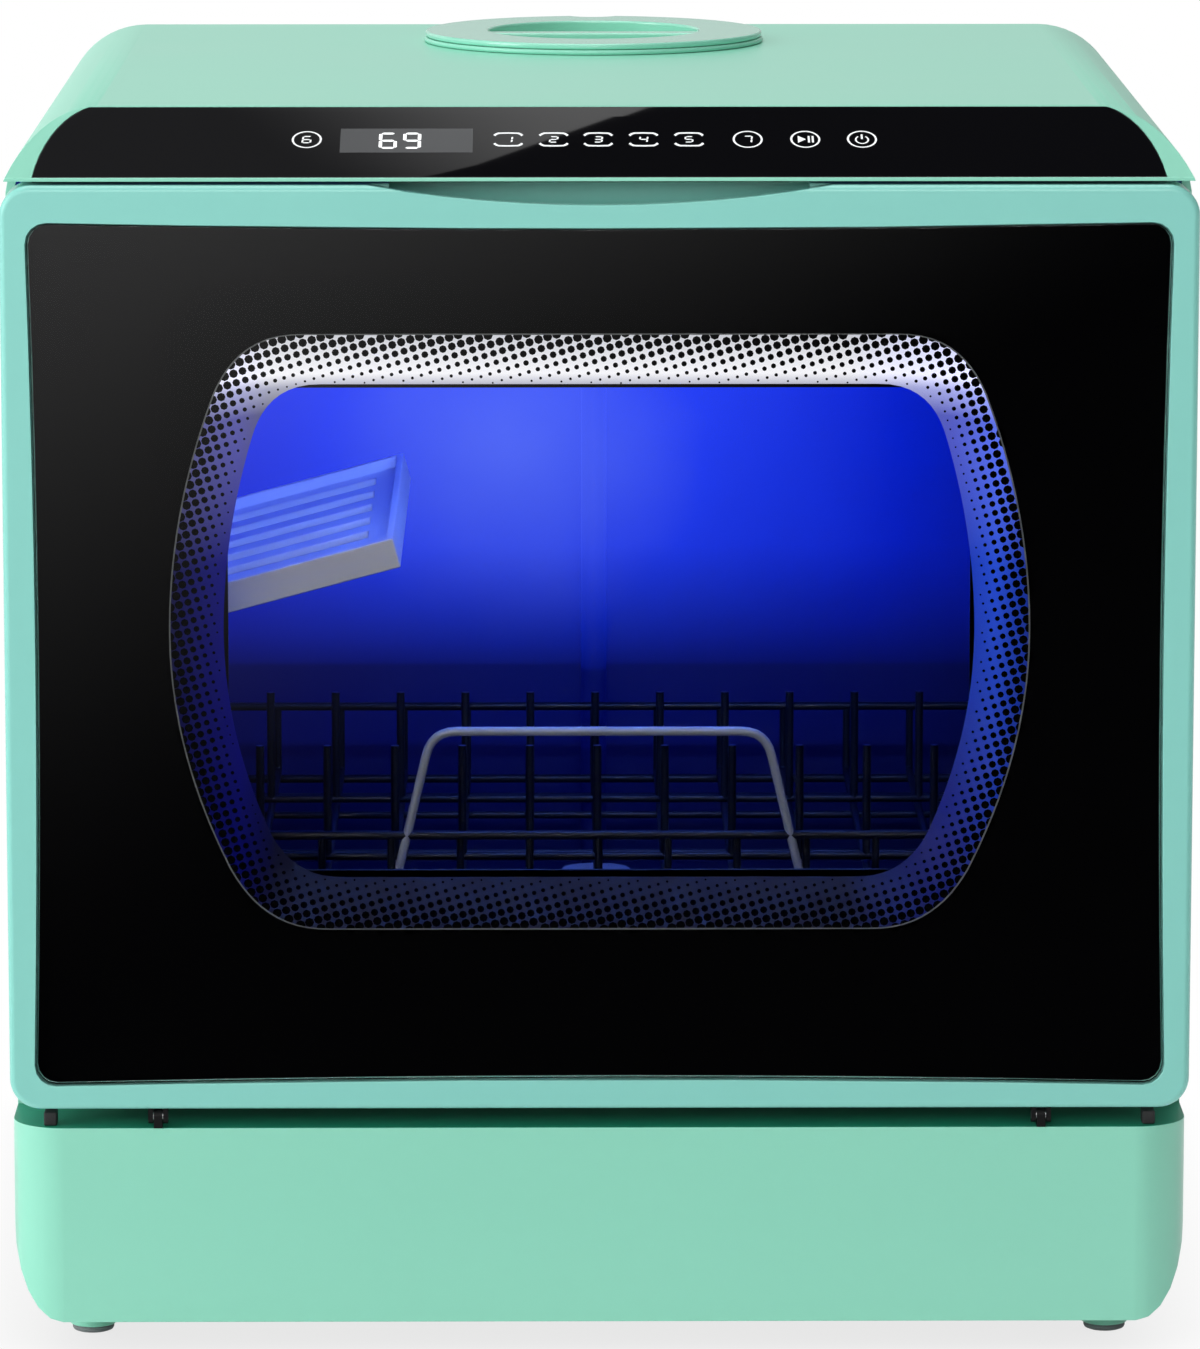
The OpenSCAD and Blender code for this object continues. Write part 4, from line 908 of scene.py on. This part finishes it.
side_x = rack_high.x - WIRE_R
front_y, rear_y = rack_low.y + WIRE_R, rack_high.y - WIRE_R
bottom_z, LONG_Z, RIM_Z = floor_low.z + WIRE_R, 152.9 * MM, 179 * MM
HANDLE_TOP, HANDLE_FOOT, HANDLE_Z = 60 * MM, 76 * MM, 217 * MM
RACK_SPAN, WIRE_GAPS, CROSS_GAPS = 324, 13, 7
PITCH = RACK_SPAN / WIRE_GAPS * MM
cross_y = [front_y + (rear_y - front_y) * i / CROSS_GAPS for i in range(CROSS_GAPS + 1)]
long_x = [i * PITCH for i in range(-(WIRE_GAPS // 2), WIRE_GAPS // 2 + 1)]
floor_runs = [[(-side_x, y, bottom_z), (side_x, y, bottom_z)] for y in cross_y[1:-1]]
floor_runs += [[(x, front_y, RIM_Z), (x, front_y, LONG_Z), (x, rear_y, LONG_Z), (x, rear_y, RIM_Z)]
               for x in long_x]
floor_piece = bent_wires("rack_basket", floor_runs, FLOOR_WIRE, wire_painted_shade, "rack", FLOOR_BEND)
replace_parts(floor_piece, "rack_floor")
rim_runs = [[(x, front_y, z), (x, rear_y, z)] for x in (-side_x, side_x) for z in (bottom_z, RIM_Z)]
rim_runs += [[(-side_x, y, z), (side_x, y, z)] for y in (front_y, rear_y) for z in (bottom_z, RIM_Z)]
rim_runs += [[(x, y, bottom_z), (x, y, RIM_Z)] for x in (-side_x, side_x) for y in cross_y]
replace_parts(bent_wires("rack_rim", rim_runs, RIM_WIRE, wire_painted_shade, "rack"), "rack_frame")
bent_wires("rack_handle", [[(-HANDLE_FOOT, front_y, bottom_z), (-HANDLE_TOP, front_y, HANDLE_Z),
                            (HANDLE_TOP, front_y, HANDLE_Z), (HANDLE_FOOT, front_y, bottom_z)]],
           WIRE_R, coated_wire, "rack", HANDLE_BEND)
tine_runs = []
tine_foot = tine_low.z + WIRE_R
for row in (cross_y[2], cross_y[5]):
    tine_runs.append([(long_x[0], row, tine_foot), (long_x[-1], row, tine_foot)])
    tine_runs += [[(x, row, tine_foot), (x, row, tine_high.z)] for x in long_x]
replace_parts(bent_wires("rack_prongs", tine_runs, TINE_WIRE, wire_painted_shade, "rack"), "rack_tines")


# ---- Cup shelf ----
# A pale moulded flap with slots for the rims of cups. It folds up on a rod held by two lugs.

shelf_grey = finish("shelf_grey", (0.78, 0.78, 0.79), 0.4, patches=0.15, grain=1000, relief=0.12)
dress("cup_shelf", "shelf_flap", 0.7 * MM, shelf_grey, "shelf", "white_plastic")
repaint(shelf_grey, "shelf_bracket")


# ---- Spray arms, filter and soap cup ----
# Moulded arms on grey hubs throw the water, a round filter sits in the floor, and the soap cup
# is set in the door's inner face under a sliding steel lid.

for level in ("lower", "upper"):
    dress(level + "_spray_arm", level + "_arm_shell", 1.5 * MM, pale_plastic, level + "_arm",
          "white_plastic", segments=3)
grey_plastic = finish("grey_plastic", (0.17, 0.18, 0.20), 0.45, patches=0.2, grain=900, relief=0.2)
dress("filter_basket", "filter", 0.5 * MM, grey_plastic, "basket", "grey_plastic")
dress("detergent_cup", "soap_cup", 0.6 * MM, pale_plastic, "door", "white_plastic")
dress("detergent_lid", "soap_lid_plate", 0.4 * MM, steel, "soap_lid", "steel")
dress("latch_tongue", "tongue", 0.4 * MM, pale_plastic, "door", "white_plastic")


# ---- Ports ----
# The hose spigots and the cable's gland stand out of the base's back wall.

inlet_pale = finish("inlet_pale", (0.55, 0.57, 0.59), 0.35, patches=0.08, relief=0.1)
dress("inlet_valve", "inlet_spigot", 0.4 * MM, inlet_pale, "cabinet", "white_plastic")
dress("drain_port", "drain_spigot", 0.4 * MM, black_plastic, "cabinet", "black_plastic")
dress("power_gland", "cable_gland", 0.6 * MM, black_rubber, "cabinet", "black_plastic")


# ---- Works ----
# The tank, pumps, motors, fan, boards and pipes behind the chamber and under its floor, seen
# only through slots or with the covers off.

board_green = finish("board_green", (0.01, 0.11, 0.045), 0.4, patches=0.5, patch_scale=60, grain=2500,
                     relief=0.3)
hose_grey = finish("hose_grey", (0.12, 0.125, 0.13), 0.55, patches=0.2, grain=1200, relief=0.3)
works_paint = {"board": board_green, "white_plastic": pale_plastic, "grey_plastic": grey_plastic,
               "black_plastic": black_plastic, "steel": steel, "hose_rubber": hose_grey}
dressed = {"feed_pipe", "inlet_valve", "drain_port", "power_gland", "hinge_pins", "shelf_bracket",
           "cover_screws"}
for entry in frame["record"]["subparts"]:
    if entry["material_slot"] in works_paint and entry["node"] not in dressed:
        repaint(works_paint[entry["material_slot"]], entry["node"])
